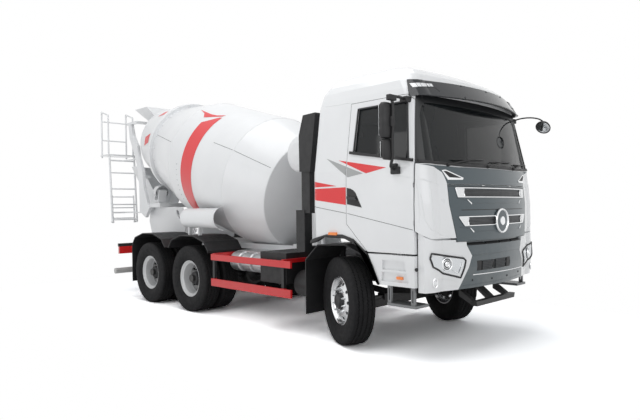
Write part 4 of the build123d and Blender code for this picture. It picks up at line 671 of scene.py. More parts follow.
def run_tree(name, mesh, tree, sizes, finish, body, crisp=None):
    """A plain mesh made by a tree from some points or lines, riding a body."""
    obj = linked(bpy.data.objects.new(name, mesh))
    pattern = obj.modifiers.new("pattern", "NODES")
    pattern.node_group = tree
    for item in tree.interface.items_tree:
        if item.in_out == "INPUT" and item.name in sizes:
            pattern[item.identifier] = sizes[item.name]
    settle(obj)
    if crisp:
        obj.data.set_sharp_from_angle(angle=math.radians(crisp))
    obj.data.name = name
    return dress(obj, finish, body)


def stud_tree(finish):
    """A six-sided or round stud with a bevelled head at each point."""
    tree, group = start_tree("studs", {"Radius": 0.006, "Height": 0.004, "Sides": 6})
    radius, height, sides = (group.outputs[label] for label in ("Radius", "Height", "Sides"))
    foot = add(tree, "GeometryNodeMeshCylinder", Vertices=sides, Radius=radius,
               Depth=math_node(tree, "MULTIPLY", height, 1.4))
    head = add(tree, "GeometryNodeMeshCone", Vertices=sides, Radius_Bottom=radius,
               Radius_Top=math_node(tree, "MULTIPLY", radius, 0.6),
               Depth=math_node(tree, "MULTIPLY", height, 0.3))
    lift = add(tree, "ShaderNodeCombineXYZ", Z=math_node(tree, "MULTIPLY", height, 0.7))
    raised = add(tree, "GeometryNodeTransform", Geometry=head.outputs["Mesh"], Translation=lift.outputs[0])
    joined = tree.nodes.new("GeometryNodeJoinGeometry")
    tree.links.new(foot.outputs["Mesh"], joined.inputs[0])
    tree.links.new(raised.outputs[0], joined.inputs[0])
    aim = tree.nodes.new("GeometryNodeInputNamedAttribute")
    aim.data_type = "FLOAT_VECTOR"
    wire(tree, aim, Name="aim")
    turn = add(tree, "FunctionNodeAlignRotationToVector", Vector=aim.outputs["Attribute"])
    turn.axis = "Z"
    placed = add(tree, "GeometryNodeInstanceOnPoints", Points=group.outputs[0], Instance=joined.outputs[0],
                 Rotation=turn.outputs[0])
    end_tree(tree, placed.outputs[0], finish, False)
    return tree


def studs(name, sites, radius, height, finish, body, sides=6):
    """Bolt heads, rivets or nuts at some (place, way) sites."""
    mesh = bpy.data.meshes.new("sites")
    mesh.from_pydata([place for place, _ in sites], [], [])
    aim = mesh.attributes.new("aim", "FLOAT_VECTOR", "POINT")
    aim.data.foreach_set("vector", [part for _, way in sites for part in Vector(way).normalized()])
    sizes = {"Radius": radius, "Height": height, "Sides": sides}
    return run_tree(name, mesh, stud_tree(finish), sizes, finish, body)


def pipe_tree(finish):
    """A round bar along every line of a mesh."""
    tree, group = start_tree("pipes", {"Radius": 0.01, "Sides": 10})
    lines = add(tree, "GeometryNodeMeshToCurve", Mesh=group.outputs[0])
    round_bar = add(tree, "GeometryNodeCurvePrimitiveCircle", Resolution=group.outputs["Sides"],
                    Radius=group.outputs["Radius"])
    tube = add(tree, "GeometryNodeCurveToMesh", Curve=lines.outputs[0],
               Profile_Curve=round_bar.outputs["Curve"], Fill_Caps=True)
    end_tree(tree, tube.outputs[0], finish)
    return tree


def pipes(name, paths, radius, finish, body, sides=10, closed=False):
    """Bars, hoses, beads or seams along some paths."""
    verts, edges = [], []
    for path in paths:
        start = len(verts)
        verts += [Vector(point) for point in path]
        edges += [(start + k, start + k + 1) for k in range(len(path) - 1)]
        if closed:
            edges.append((len(verts) - 1, start))
    mesh = bpy.data.meshes.new("paths")
    mesh.from_pydata(verts, edges, [])
    return run_tree(name, mesh, pipe_tree(finish), {"Radius": radius, "Sides": sides}, finish, body,
                    crisp=50)


# ---------------------------------------------------------------- thin pieces laid on the panels
TOWARDS = {"right": Vector((1, 0, 0)), "left": Vector((-1, 0, 0)), "front": Vector((0, 1, 0)),
           "rear": Vector((0, -1, 0))}


def surface_of(*nodes):
    """A search tree over the faces of some nodes."""
    points, faces = [], []
    for node in nodes:
        mesh = frame["nodes"][node].data
        start = len(points)
        points += [vert.co.copy() for vert in mesh.vertices]
        faces += [[start + index for index in face.vertices] for face in mesh.polygons]
    return BVHTree.FromPolygons(points, faces)


def far_point(side, a, b):
    """Where a ray starts for a place on a side: (y, z) on the flanks, (x, z) ahead or behind."""
    if side in ("right", "left"):
        return spot(-4.0 if side == "right" else 4.0, a, b)
    return spot(a, -4.0 if side == "front" else 10.0, b)


def on_skin(surface, side, a, b, lift=0.0, feel=0.0):
    """The point that lies on the outermost surface there, lifted off it a little; None past its edge."""
    best = None
    for da, db in ((0, 0), (feel, 0), (-feel, 0), (0, feel), (0, -feel)) if feel else ((0, 0),):
        start = far_point(side, a + da, b + db)
        hit, _, _, depth = surface.ray_cast(start, TOWARDS[side])
        if hit is not None and (best is None or depth < best):
            best = depth
    return None if best is None else far_point(side, a, b) + TOWARDS[side] * (best - lift)


def skin_patch(bm, outline, side, surface, lift=0.0015, depth=0.004, step=0.06, feel=0.0):
    """A thin plate that follows a surface: the outline is cut by a grid and every corner let down onto it."""
    flat = bmesh.new()
    flat.faces.new([flat.verts.new((a, b, 0)) for a, b in outline])
    for axis in (0, 1):
        low, high = min(p[axis] for p in outline), max(p[axis] for p in outline)
        count = int((high - low) / step)
        for k in range(1, count + 1):
            at, across = [0, 0, 0], [0, 0, 0]
            at[axis], across[axis] = low + (high - low) * k / (count + 1), 1
            bmesh.ops.bisect_plane(flat, geom=flat.verts[:] + flat.edges[:] + flat.faces[:], plane_co=at,
                                   plane_no=across)
    top, base = {}, {}
    for vert in flat.verts:
        place = on_skin(surface, side, vert.co.x, vert.co.y, 0, feel)
        if place is not None:
            top[vert] = bm.verts.new(place - TOWARDS[side] * lift)
            base[vert] = bm.verts.new(place + TOWARDS[side] * depth)
    for face in flat.faces:
        if all(vert in top for vert in face.verts):
            bm.faces.new([top[vert] for vert in face.verts])
            bm.faces.new([base[vert] for vert in reversed(face.verts)])
    for edge in flat.edges:
        kept = [face for face in edge.link_faces if all(vert in top for vert in face.verts)]
        if len(kept) == 1:
            first, second = edge.verts
            bm.faces.new((top[first], top[second], base[second], base[first]))
    flat.free()


def fit(lift, depth, step, feel=0.0):
    """How a patch lies on its surface: its lift, its depth, the grid it is cut by and how far it feels."""
    return {"lift": lift, "depth": depth, "step": step, "feel": feel}


def skin_path(points, side, surface, lift=0.0, step=0.03, feel=0.0):
    """A line through given places let down onto a surface in short steps."""
    path = []
    for (a0, b0), (a1, b1) in zip(points, points[1:]):
        count = max(1, int(math.hypot(a1 - a0, b1 - b0) / step))
        for k in range(count + (1 if (a1, b1) == tuple(points[-1]) else 0)):
            place = on_skin(surface, side, a0 + (a1 - a0) * k / count, b0 + (b1 - b0) * k / count, lift,
                            feel)
            if place is not None:
                path.append(place)
    return path


def clip(outline, axis, value, keep_above):
    """The part of an outline on one side of a line across an axis."""
    kept = []
    for here, after in zip(outline, outline[1:] + outline[:1]):
        inside, next_inside = ((p[axis] > value) == keep_above for p in (here, after))
        if inside:
            kept.append(here)
        if inside != next_inside:
            share = (value - here[axis]) / (after[axis] - here[axis])
            kept.append(tuple(h + (a - h) * share for h, a in zip(here, after)))
    return kept


def plates(name, jobs, finish, body, flip=False, both=False):
    """Skin patches in one piece; flip sets them on the left instead, both on either side."""
    bm = bmesh.new()
    for outline, side, surface, sizes in jobs:
        skin_patch(bm, outline, side, surface, **sizes)
    if flip:
        for vert in bm.verts:
            vert.co.x = -vert.co.x
    if both:
        mirror_of(bm)
    return place_piece(name, tidy_mesh(bm, name), finish, body)


def flipped(path):
    """The same path on the other side of the truck."""
    return [Vector((-point.x, point.y, point.z)) for point in map(Vector, path)]


# ---------------------------------------------------------------- finishes that change across a node
UPWARDS = (0, 0, 1)


def with_zone(base, name, colour, roughness, tests, metal=0.0):
    """A finish that turns into a second one where a point's distance along each given way passes its test."""
    mat = base.copy()
    mat.name = name
    tree = mat.node_tree
    out = next(node for node in tree.nodes if node.type == "OUTPUT_MATERIAL")
    main = tree.nodes["Principled BSDF"]
    other = add(tree, "ShaderNodeBsdfPrincipled", Base_Color=(*colour, 1), Roughness=roughness,
                Metallic=metal)
    share = 1.0
    for way, operation, value in tests:
        along = vector_node(tree, "DOT_PRODUCT", object_place(tree), way).outputs["Value"]
        share = math_node(tree, "MULTIPLY", share, math_node(tree, operation, along, value))
    wire(tree, out, Surface=mix_shaders(tree, share, main.outputs[0], other.outputs[0]))
    return mat


PILLAR_LEAN = (0, 1, -0.117)          # the doors' front edge leans back
PILLAR_EDGE = -1.139 + AXLE_Y - 0.117 * 2.18
CAB_SHELL = with_zone(CAB_WHITE, "cab_white_and_pillars", (0.01, 0.011, 0.012), 0.38,
                      [(PILLAR_LEAN, "LESS_THAN", PILLAR_EDGE), (UPWARDS, "GREATER_THAN", 2.125),
                       (UPWARDS, "LESS_THAN", 2.88)])
STEP_FINISH = with_zone(CAB_WHITE, "white_panels_grey_steps", (0.2, 0.205, 0.21), 0.42,
                        [(UPWARDS, "LESS_THAN", 0.8145)], metal=0.5)
GUARD_FINISH = with_zone(SIGNAL_RED, "red_rails_black_posts", (0.008, 0.008, 0.009), 0.45,
                         [(UPWARDS, "GREATER_THAN", 0.603), (UPWARDS, "LESS_THAN", 0.884)])
UNDERRUN_FINISH = with_zone(BLACK_PAINT, "grey_bar_black_brackets", (0.5, 0.5, 0.49), 0.4,
        [(UPWARDS, "LESS_THAN", 0.508)])


# ---------------------------------------------------------------- cab flanks and doors
DOOR_GAP_Y = -0.166                   # rear edge of the doors
ARCH_UPPER = [(0.462, 1.262), (0.4, 1.292), (0.174, 1.347), (-0.09, 1.352), (-0.269, 1.306),
              (-0.474, 1.156), (-0.545, 1.03), (-0.64, 0.818)]
ARCH_LOWER = [(0.462, 1.225), (0.36, 1.25), (0.235, 1.312), (-0.128, 1.304), (-0.27, 1.254), (-0.484, 1.13),
              (-0.562, 1.01), (-0.658, 0.818)]


def dress_flanks():
    """Decals, seams, a painted shade line in the flank crease, arch trims and lamps on both flanks of the cab
    and the doors.
    """
    cab = surface_of("cab_shell", "boarding_steps")
    door = surface_of("door_right")
    film = fit(0.0025, 0.003, 0.03)
    red = [(-0.03, 2.227), (-0.773, 2.103), (-0.478, 2.053)]
    grey = [(0.18, 2.262), (-0.428, 2.055), (-0.191, 2.021)]
    wedge = [(0.450, 2.001), (-0.006, 1.924), (0.450, 1.918)]
    block = [(0.45, 1.9), (DOOR_GAP_Y + 0.012, 1.906), (DOOR_GAP_Y + 0.012, 1.7), (0.395, 1.766),
             (0.45, 1.829)]
    split = DOOR_GAP_Y
    plates("red_marks_cab", [(clip(red, 0, split + 0.006, True), "right", cab, film),
                             (wedge, "right", cab, film), (block, "right", cab, film)], RED_FILM, "cab",
           both=True)
    plates("grey_marks_cab", [(clip(grey, 0, split + 0.006, True), "right", cab, film)], GREY_FILM, "cab",
           both=True)
    bead = {"feel": 0.004}
    crease = [(0.446, 1.690), (-0.155, 1.602)]
    recess_line = skin_path([(-1.156, 1.963), (-1.184, 1.771), (-1.196, 1.591), (-1.19, 1.5)], "right", cab)
    corner = skin_path([(-1.205, 1.966), (-1.141, 1.95), (-1.118, 1.921), (-1.116, 1.77), (-1.107, 1.584),
                        (-1.1, 1.46)], "front", cab)
    swoop = skin_path([(-1.205, 1.8), (-1.185, 1.539), (-1.129, 1.43), (-0.977, 1.362), (-0.86, 1.335)],
                      "front", cab)
    ledge = skin_path([(-1.20, 1.952), (-1.094, 1.926), (-0.99, 1.899)], "front", cab)
    soft = [recess_line, corner, swoop, ledge]
    pipes("corner_creases", soft + [flipped(path) for path in soft], 0.0045, CAB_WHITE, "cab", 8)
    roof = skin_path([(0.28, 2.910), (-0.15, 2.902)], "right", cab, **bead)
    back = skin_path([(-1.02, 2.905), (1.02, 2.905)], "rear", cab)
    pipes("roof_seams", [roof, flipped(roof), back], 0.004, CAB_WHITE, "cab", 8)
    # the flank crease is drawn as a dark grey line: painted shade in the crease
    lines = [skin_path(crease, "right", cab, **bead)]
    pipes("flank_crease_shade_cab", lines + [flipped(line) for line in lines], 0.003, SEAM_AND_SHADE_GREY, "cab", 6)
    bm = bmesh.new()
    outline = [(y + AXLE_Y, z) for y, z in ARCH_UPPER + ARCH_LOWER[::-1]]
    bridge(bm, [[Vector((x, y, z)) for y, z in outline] for x in (-1.256, -1.205)])
    mirror_of(bm)
    place_piece("arch_trims", tidy_mesh(bm, "arch_trims"), BLACK_PLASTIC, "cab", 0.006)
    door_edge = [(-1.138, 1.167), (-0.48, 1.167), (-0.157, 1.478), (-0.172, 2.883), (-0.99, 2.883),
                 (-1.064, 2.823), (-1.138, 2.178), (-1.138, 1.167)]
    gap = skin_path(door_edge, "right", cab, -0.004, 0.05, 0.012)
    pipes("door_gaps", [gap, flipped(gap)], 0.0042, SEAM_AND_SHADE_GREY, "cab", 6)
    plates("flank_lamps", [([(-0.01, 1.342), (0.0, 1.376), (0.115, 1.376), (0.128, 1.342)], "right", cab,
                            fit(0.03, 0.0, 0.2)), ([(-0.968, 0.888), (-0.968, 0.92), (-0.885, 0.92),
            (-0.885, 0.888)], "right", cab, fit(0.016, 0.0, 0.2))], ORANGE_LENS, "cab", both=True)
    for side, flip in (("right", False), ("left", True)):
        body = f"door_{side}"
        plates(f"red_mark_{body}", [(clip(red, 0, split - 0.008, False), "right", door, film)], RED_FILM,
               body, flip=flip)
        plates(f"grey_mark_{body}", [(clip(grey, 0, split - 0.008, False), "right", door, film)], GREY_FILM,
               body, flip=flip)
        recess = [(-0.176, 1.897), (-0.233, 1.887), (-0.275, 1.868), (-0.312, 1.838), (-0.405, 1.668),
                  (-0.176, 1.708)]
        plates(f"handle_plate_{side}", [(recess, "right", door, fit(0.004, 0.01, 0.2))], BLACK_PLASTIC,
               body, flip=flip)
        grip = [(-0.188, 1.800), (-0.318, 1.787), (-0.338, 1.752), (-0.188, 1.765)]
        plates(f"handle_grip_{side}", [(grip, "right", door, fit(0.022, 0.0, 0.2))], DARK_TRIM, body,
               flip=flip)
        seams = [skin_path([(-0.178, 1.6), (-1.126, 1.428)], "right", door), skin_path([(-0.9, 2.003),
                (-1.128, 1.975)], "right", door)]
        frame_line = skin_path([(-0.262, 2.29), (-0.29, 2.805), (-1.0, 2.805), (-1.075, 2.165),
                                (-0.262, 2.29)], "right", door, feel=0.012)
        if flip:
            seams, frame_line = [flipped(line) for line in seams], flipped(frame_line)
        # the crease's dark grey line on the door is painted shade in the crease; the bead above it stays
        # white
        pipes(f"flank_crease_shade_{body}", seams[:1], 0.003, SEAM_AND_SHADE_GREY, body, 6)
        pipes(f"flank_bead_{body}", seams[1:], 0.004, CAB_WHITE, body, 6)
        pipes(f"window_seal_{side}", [frame_line], 0.011, DARK_TRIM, body, 8)
        sill = [(-0.205, 2.322), (-0.205, 2.290), (-1.128, 2.145), (-1.128, 2.178)]
        plates(f"window_sill_{side}", [(sill, "right", door, fit(0.012, 0.01, 0.2, 0.03))], BLACK_PLASTIC,
               body, flip=flip)
    dots = [((side * 1.243, -1.170 + AXLE_Y, 1.013), (side, -0.35, 0)) for side in (-1, 1)]
    studs("bumper_dots", dots, 0.020, 0.004, BLACK_PLASTIC, "cab", 20)


# ---------------------------------------------------------------- screen, visor and wipers
def dress_screen():
    """Black strip under the screen, wipers, the visor's marker lamps, studs and rim, and the lifting loop."""
    front = surface_of("cab_shell", "cowl_panel", "windscreen")
    screen, visor = surface_of("windscreen", "cab_shell"), surface_of("visor")
    upper = [(-1.205, 2.172), (-1.137, 2.16), (-0.6, 2.136), (0.6, 2.136), (1.137, 2.16), (1.205, 2.172)]
    strip = upper + [(x, z - 0.033) for x, z in reversed(upper)]
    plates("screen_strip", [(strip, "front", front, fit(0.01, 0.02, 0.09, 0.012))], BLACK_PLASTIC, "cab")
    blades, arms, pivots = [], [], []
    for x in (-0.78, -0.12, 0.54):
        blades.append(skin_path([(x + 0.02, 2.176), (x + 0.56, 2.196)], "front", screen, 0.016))
        arms.append([on_skin(front, "front", x - 0.06, 2.118, 0.03),
                     on_skin(screen, "front", x + 0.08, 2.15, 0.036),
                     on_skin(screen, "front", x + 0.3, 2.187, 0.03)])
        pivots.append((on_skin(front, "front", x - 0.06, 2.118, 0.0), (0, -1, 0.3)))
    pipes("wiper_blades", blades, 0.007, BLACK_PLASTIC, "cab", 6)
    pipes("wiper_arms", arms, 0.009, BLACK_PLASTIC, "cab", 6)
    studs("wiper_pivots", pivots, 0.020, 0.035, BLACK_PLASTIC, "cab", 16)
    cells = []
    for k in range(6):
        low, high = -1.104 + 0.041 * k, -1.104 + 0.041 * k + 0.034
        rise = 0.0045 * k
        cells.append(([(low, 2.956 + rise), (high, 2.957 + rise), (high, 3.004 + rise / 2),
                       (low, 3.003 + rise / 2)], "front", visor, fit(0.005, 0.01, 0.05)))
    plates("marker_cells", cells, CLEAR_LENS, "cab", both=True)
    backing = [(-1.11, 2.95), (-1.106, 3.01), (-0.9, 3.02), (-0.862, 3.012), (-0.812, 2.93),
               (-0.818, 2.925), (-0.862, 2.976)]
    plates("marker_backs", [(backing, "front", visor, fit(0.002, 0.006, 0.05))], DARK_TRIM, "cab",
           both=True)
    sites = []
    for x, z in ((-0.42, 3.040), (0.07, 3.034), (0.50, 3.036), (0.86, 3.030), (-0.49, 2.884), (-0.02, 2.866),
                 (0.44, 2.868), (0.84, 2.880)):
        place = on_skin(visor, "front", x, z)
        if place is not None:
            sites.append((place, (0, -1, 0.5)))
    studs("visor_studs", sites, 0.011, 0.006, BLACK_PLASTIC, "cab", 12)
    rim = skin_path([(-1.1, 2.866), (-0.6, 2.866), (0.0, 2.866), (0.6, 2.866), (1.1, 2.866)], "front",
                    visor)
    pipes("visor_rim", [rim], 0.007, VISOR_SMOKE, "cab", 8)
    loop = [spot(-0.905 - 0.045 * math.cos(t), -0.925, 3.085 + 0.055 * math.sin(t))
            for t in [math.pi * k / 10 for k in range(11)]]
    pipes("lifting_loop", [loop], 0.006, CHROME, "cab", 8)


# ---------------------------------------------------------------- front mask
# each slot's half widths: dark middle, top edge, foot; its heights: foot, top, shelf; its shelf's two bends
SLOTS_OF_MASK = [(0.643, 0.772, 0.747, 1.772, 1.872, 1.7, (0.613, 0.547)), (0.602, 0.75, 0.668, 1.458,
        1.556, 1.388, (0.59, 0.53))]


def dress_mask():
    """Chrome frames, end blocks, bars and shelves of both slots, the plain badge and the framed corners."""
    mask = surface_of("front_mask", "grilles")
    cowl = surface_of("cowl_panel")
    blocks, frames, bars, shelves, ticks = [], [], [], [], []
    for dark, outer, foot, low, high, shelf, ends in SLOTS_OF_MASK:
        block = fit(0.012, 0.01, 0.07, 0.006)
        blocks.append(([(-outer, high), (-dark - 0.012, high - 0.002), (-dark - 0.012, low + 0.002),
                        (-foot, low)], "front", mask, block))
        frames.append(skin_path([(-outer, high), (outer, high), (foot, low), (-foot, low), (-outer, high)],
                                "front", mask, 0.006, 0.04, 0.006))
        frames.append(skin_path([(-dark, high - 0.008), (-dark, low + 0.008)], "front", mask, 0.004, 0.03,
                                0.01))
        frames.append(skin_path([(dark, high - 0.008), (dark, low + 0.008)], "front", mask, 0.004, 0.03,
                                0.01))
        for k in range(5):
            z = low + 0.018 + (high - low - 0.036) * k / 4
            bars.append(skin_path([(-dark + 0.01, z), (dark - 0.01, z)], "front", mask, 0.003, 0.05))
        (x0, x1) = ends
        rise = shelf + 0.04
        shelves.append(skin_path([(-outer + 0.02, low - 0.012), (-x0, rise), (-x1, shelf), (x1, shelf),
                                  (x0, rise), (outer - 0.02, low - 0.012)], "front", mask, 0.0, 0.04))
        tick = [(-x0 - 0.004, rise + 0.006), (-x0 + 0.014, rise + 0.002), (-x1 + 0.004, shelf + 0.004),
                (-x1 - 0.004, shelf - 0.01)]
        ticks.append((tick, "front", mask, fit(0.008, 0.01, 0.05)))
    plates("slot_blocks", blocks, ALLOY, "front_flap", both=True)
    pipes("slot_frames", frames, 0.0065, CHROME, "front_flap", 8)
    pipes("slot_bars", bars, 0.004, SEAM_AND_SHADE_GREY, "front_flap", 6)
    pipes("mask_shelves", shelves, 0.005, MASK_BLUE, "front_flap", 8)
    plates("mask_ticks", ticks, CHROME, "front_flap", both=True)
    edge = skin_path([(-0.86, 1.890), (0.86, 1.890)], "front", mask, 0.0, 0.04)
    low_edge = skin_path([(-0.70, 1.630), (0.70, 1.630)], "front", mask, 0.0, 0.04)
    pipes("mask_beads", [edge, low_edge], 0.004, BLACK_PAINT, "front_flap", 8)
    bm = bmesh.new()
    centre = on_skin(mask, "front", 0.0, 1.497, 0.0, 0.10)
    add_turned(bm, [(0.0, 0.142), (0.02, 0.145), (0.03, 0.138), (0.032, 0.128), (0.024, 0.12),
                    (0.016, 0.118)], centre, (0, -1, 0), 64)
    add_turned(bm, [(0.018, 0.052), (0.028, 0.050), (0.032, 0.040), (0.034, 0.0)], centre, (0, -1, 0), 40)
    place_piece("badge_ring", tidy_mesh(bm, "badge_ring"), CHROME, "front_flap")
    bm = bmesh.new()
    add_turned(bm, [(0.0, 0.120), (0.016, 0.120), (0.019, 0.060), (0.019, 0.0)], centre, (0, -1, 0), 48)
    place_piece("badge_disc", tidy_mesh(bm, "badge_disc"), MASK_BLUE, "front_flap")
    outer = [(-0.935, 2.060), (-0.880, 2.066), (-0.632, 1.982), (-0.645, 1.960), (-0.862, 1.957)]
    inner = [(-0.912, 2.050), (-0.876, 2.052), (-0.668, 1.980), (-0.835, 1.984)]
    plates("corner_frames", [(outer, "front", cowl, fit(0.006, 0.01, 0.05))], CHROME, "cab", both=True)
    plates("corner_insets", [(inner, "front", cowl, fit(0.009, 0.0, 0.05))], BLACK_PLASTIC, "cab",
           both=True)


# ---------------------------------------------------------------- bumper and lamps
LAMP_LINE = [(-1.151, 1.133), (-1.136, 1.18), (-0.691, 1.106), (-0.66, 1.079), (-0.722, 0.896),
             (-0.994, 0.967), (-1.124, 1.04)]


def ring_on(bm, centre, axis, width, height, thick, out, count=40):
    """An oval ring of round section facing along an axis, its height near upright."""
    axis = Vector(axis).normalized()
    side = axis.cross(Vector((0, 0, 1))).normalized()
    up = side.cross(axis)
    path = [Vector(centre) + axis * out + side * (width * math.cos(2 * math.pi * k / count))
            + up * (height * math.sin(2 * math.pi * k / count)) for k in range(count)]
    rows = []
    for index, here in enumerate(path):
        ahead = (path[(index + 1) % count] - path[index - 1]).normalized()
        away = ahead.cross(axis).normalized()
        ring = [here + away * (thick * math.cos(2 * math.pi * k / 8))
                + axis * (thick * math.sin(2 * math.pi * k / 8)) for k in range(8)]
        rows.append([bm.verts.new(point) for point in ring])
    for here, after in zip(rows, rows[1:] + rows[:1]):
        for k in range(8):
            bm.faces.new((here[k], here[(k + 1) % 8], after[(k + 1) % 8], after[k]))


def dress_bumper():
    """Vents, mesh windows, bright line and bolts of the middle; rims and lamps of both ends."""
    middle_part = surface_of("bumper_centre")
    ends = surface_of("bumper_ends", "lamps")
    windows = []
    for x0, x1 in ((-0.60, -0.315), (-0.285, -0.02), (0.01, 0.275), (0.305, 0.59)):
        windows.append(([(x0, 1.24), (x1, 1.24), (x1, 1.27), (x0, 1.27)], "front", middle_part,
                        fit(0.003, 0.01, 0.08)))
    for x0, x1 in ((-0.479, -0.402), (0.120, 0.210)):
        windows.append(([(x0, 0.953), (x1, 0.953), (x1, 1.065), (x0, 1.065)], "front", middle_part,
                        fit(0.003, 0.01, 0.3)))
    plates("bumper_windows", windows, BLACK_PLASTIC, "cab")
    meshes, wires = [], []
    for x0, x1 in ((-0.385, -0.198), (-0.133, 0.085)):
        meshes.append(([(x0, 0.953), (x1, 0.953), (x1, 1.065), (x0, 1.065)], "front", middle_part,
                       fit(0.001, 0.01, 0.3)))
        for k in range(int((x1 - x0) / 0.018)):
            x = x0 + 0.012 + 0.018 * k
            wires.append(skin_path([(x, 0.953), (x, 1.065)], "front", middle_part, 0.004, 0.3))
        below, above = (skin_path([(x0, z), (x1, z)], "front", middle_part, 0.004, 0.06)
                        for z in (0.953, 1.065))
        for k in range(6):
            wires.append([low.lerp(high, 0.1 + 0.16 * k) for low, high in zip(below, above)])
    plates("mesh_backs", meshes, DARK_TRIM, "cab")
    pipes("mesh_wires", wires, 0.0022, SEAM_AND_SHADE_GREY, "cab", 5)
    bright = [(-0.535, 0.908), (0.625, 0.896), (0.655, 0.884), (0.655, 0.893), (0.625, 0.905),
              (-0.535, 0.918)]
    plates("bright_line", [(bright, "front", middle_part, fit(0.004, 0.01, 0.08))], ALLOY, "cab")
    sites = [(on_skin(middle_part, "front", x, z), (0, -1, 0)) for x, z in ((-0.527, 0.852), (-0.17, 0.84),
            (0.18, 0.84), (0.53, 0.852))]
    studs("bumper_bolts", sites, 0.013, 0.006, BLACK_PLASTIC, "cab", 6)
    lip = skin_path([(-0.66, 0.800), (0.66, 0.800)], "front", middle_part, 0.0, 0.05)
    ledge = skin_path([(-0.6, 1.15), (-0.535, 1.128), (0.535, 1.128), (0.6, 1.15)], "front", middle_part,
                      0.0, 0.05)
    pipes("bumper_beads", [lip, ledge], 0.005, MASK_BLUE, "cab", 8)
    rim = skin_path(LAMP_LINE + LAMP_LINE[:1], "front", ends, 0.002, 0.03, 0.008)
    pipes("lamp_rims", [rim, flipped(rim)], 0.010, BLACK_PLASTIC, "cab", 8)
    inner = [(x * 0.965 - 0.033, (z - 1.05) * 0.80 + 1.052) for x, z in LAMP_LINE]
    plates("lamp_bowls", [(inner, "front", ends, fit(0.004, 0.01, 0.05))], LAMP_BOWL, "cab", both=True)
    bm = bmesh.new()
    at = on_skin(ends, "front", -0.930, 1.058, 0.0)
    way = Vector((-0.30, -1, 0.0)).normalized()
    for width, out, thick in ((0.066, 0.016, 0.006), (0.044, 0.012, 0.004), (0.024, 0.018, 0.006)):
        ring_on(bm, at, way, width, width, thick, out)
    daylight = skin_path([(-0.85, 0.985), (-0.765, 0.948), (-0.715, 1.068)], "front", ends, 0.010, 0.04)
    add_tube(bm, daylight, 0.006, 6)
    fog = on_skin(ends, "front", -1.086, 0.868, 0.0)
    ring_on(bm, fog, (-0.45, -1, 0), 0.026, 0.046, 0.006, 0.006)
    mirror_of(bm)
    place_piece("lamp_rings", tidy_mesh(bm, "lamp_rings"), CHROME, "cab")
    bm = bmesh.new()
    add_turned(bm, [(0.0, 0.058), (0.010, 0.056), (0.012, 0.0)], at, way, 32)
    mirror_of(bm)
    place_piece("lamp_bulls", tidy_mesh(bm, "lamp_bulls"), DARK_TRIM, "cab")
    bm = bmesh.new()
    add_turned(bm, [(0.0, 0.024), (0.010, 0.022), (0.018, 0.012), (0.021, 0.0)], at + way * 0.008, way, 24)
    add_turned(bm, [(0.0, 0.026), (0.006, 0.024), (0.010, 0.0)], fog, (-0.45, -1, 0), 24)
    mirror_of(bm)
    place_piece("lamp_lenses", tidy_mesh(bm, "lamp_lenses"), CLEAR_LENS, "cab")
    fold = skin_path([(-1.056, 0.908), (-0.90, 0.892), (-0.768, 0.858)], "front", ends)
    pipes("bumper_folds", [fold, flipped(fold)], 0.003, CAB_WHITE, "cab", 6)


# ---------------------------------------------------------------- mirrors
MIRROR_OUT = 1.435                    # middle of the right-hand heads, from the truck's middle
MIRROR_AT = -0.945                    # their place along the truck, from the front axle
MIRROR_BACK = (1.4185, -0.80, 30.0)   # the left-hand heads: out, along and swing in degrees


def shell_of(bm, rows, turn):
    """A rounded housing from rows of (height, middle across, half width, half depth, middle along)."""
    rings = []
    for height, across, half_x, half_y, along in rows:
        ring = []
        for k in range(24):
            angle = 2 * math.pi * k / 24
            c, s = math.cos(angle), math.sin(angle)
            ring.append(turn @ Vector((across + half_x * math.copysign(abs(c) ** 0.62, c), along
                    + half_y * math.copysign(abs(s) ** (0.5 if s > 0 else 0.95), s), height)))
        rings.append(ring)
    bridge(bm, rings)


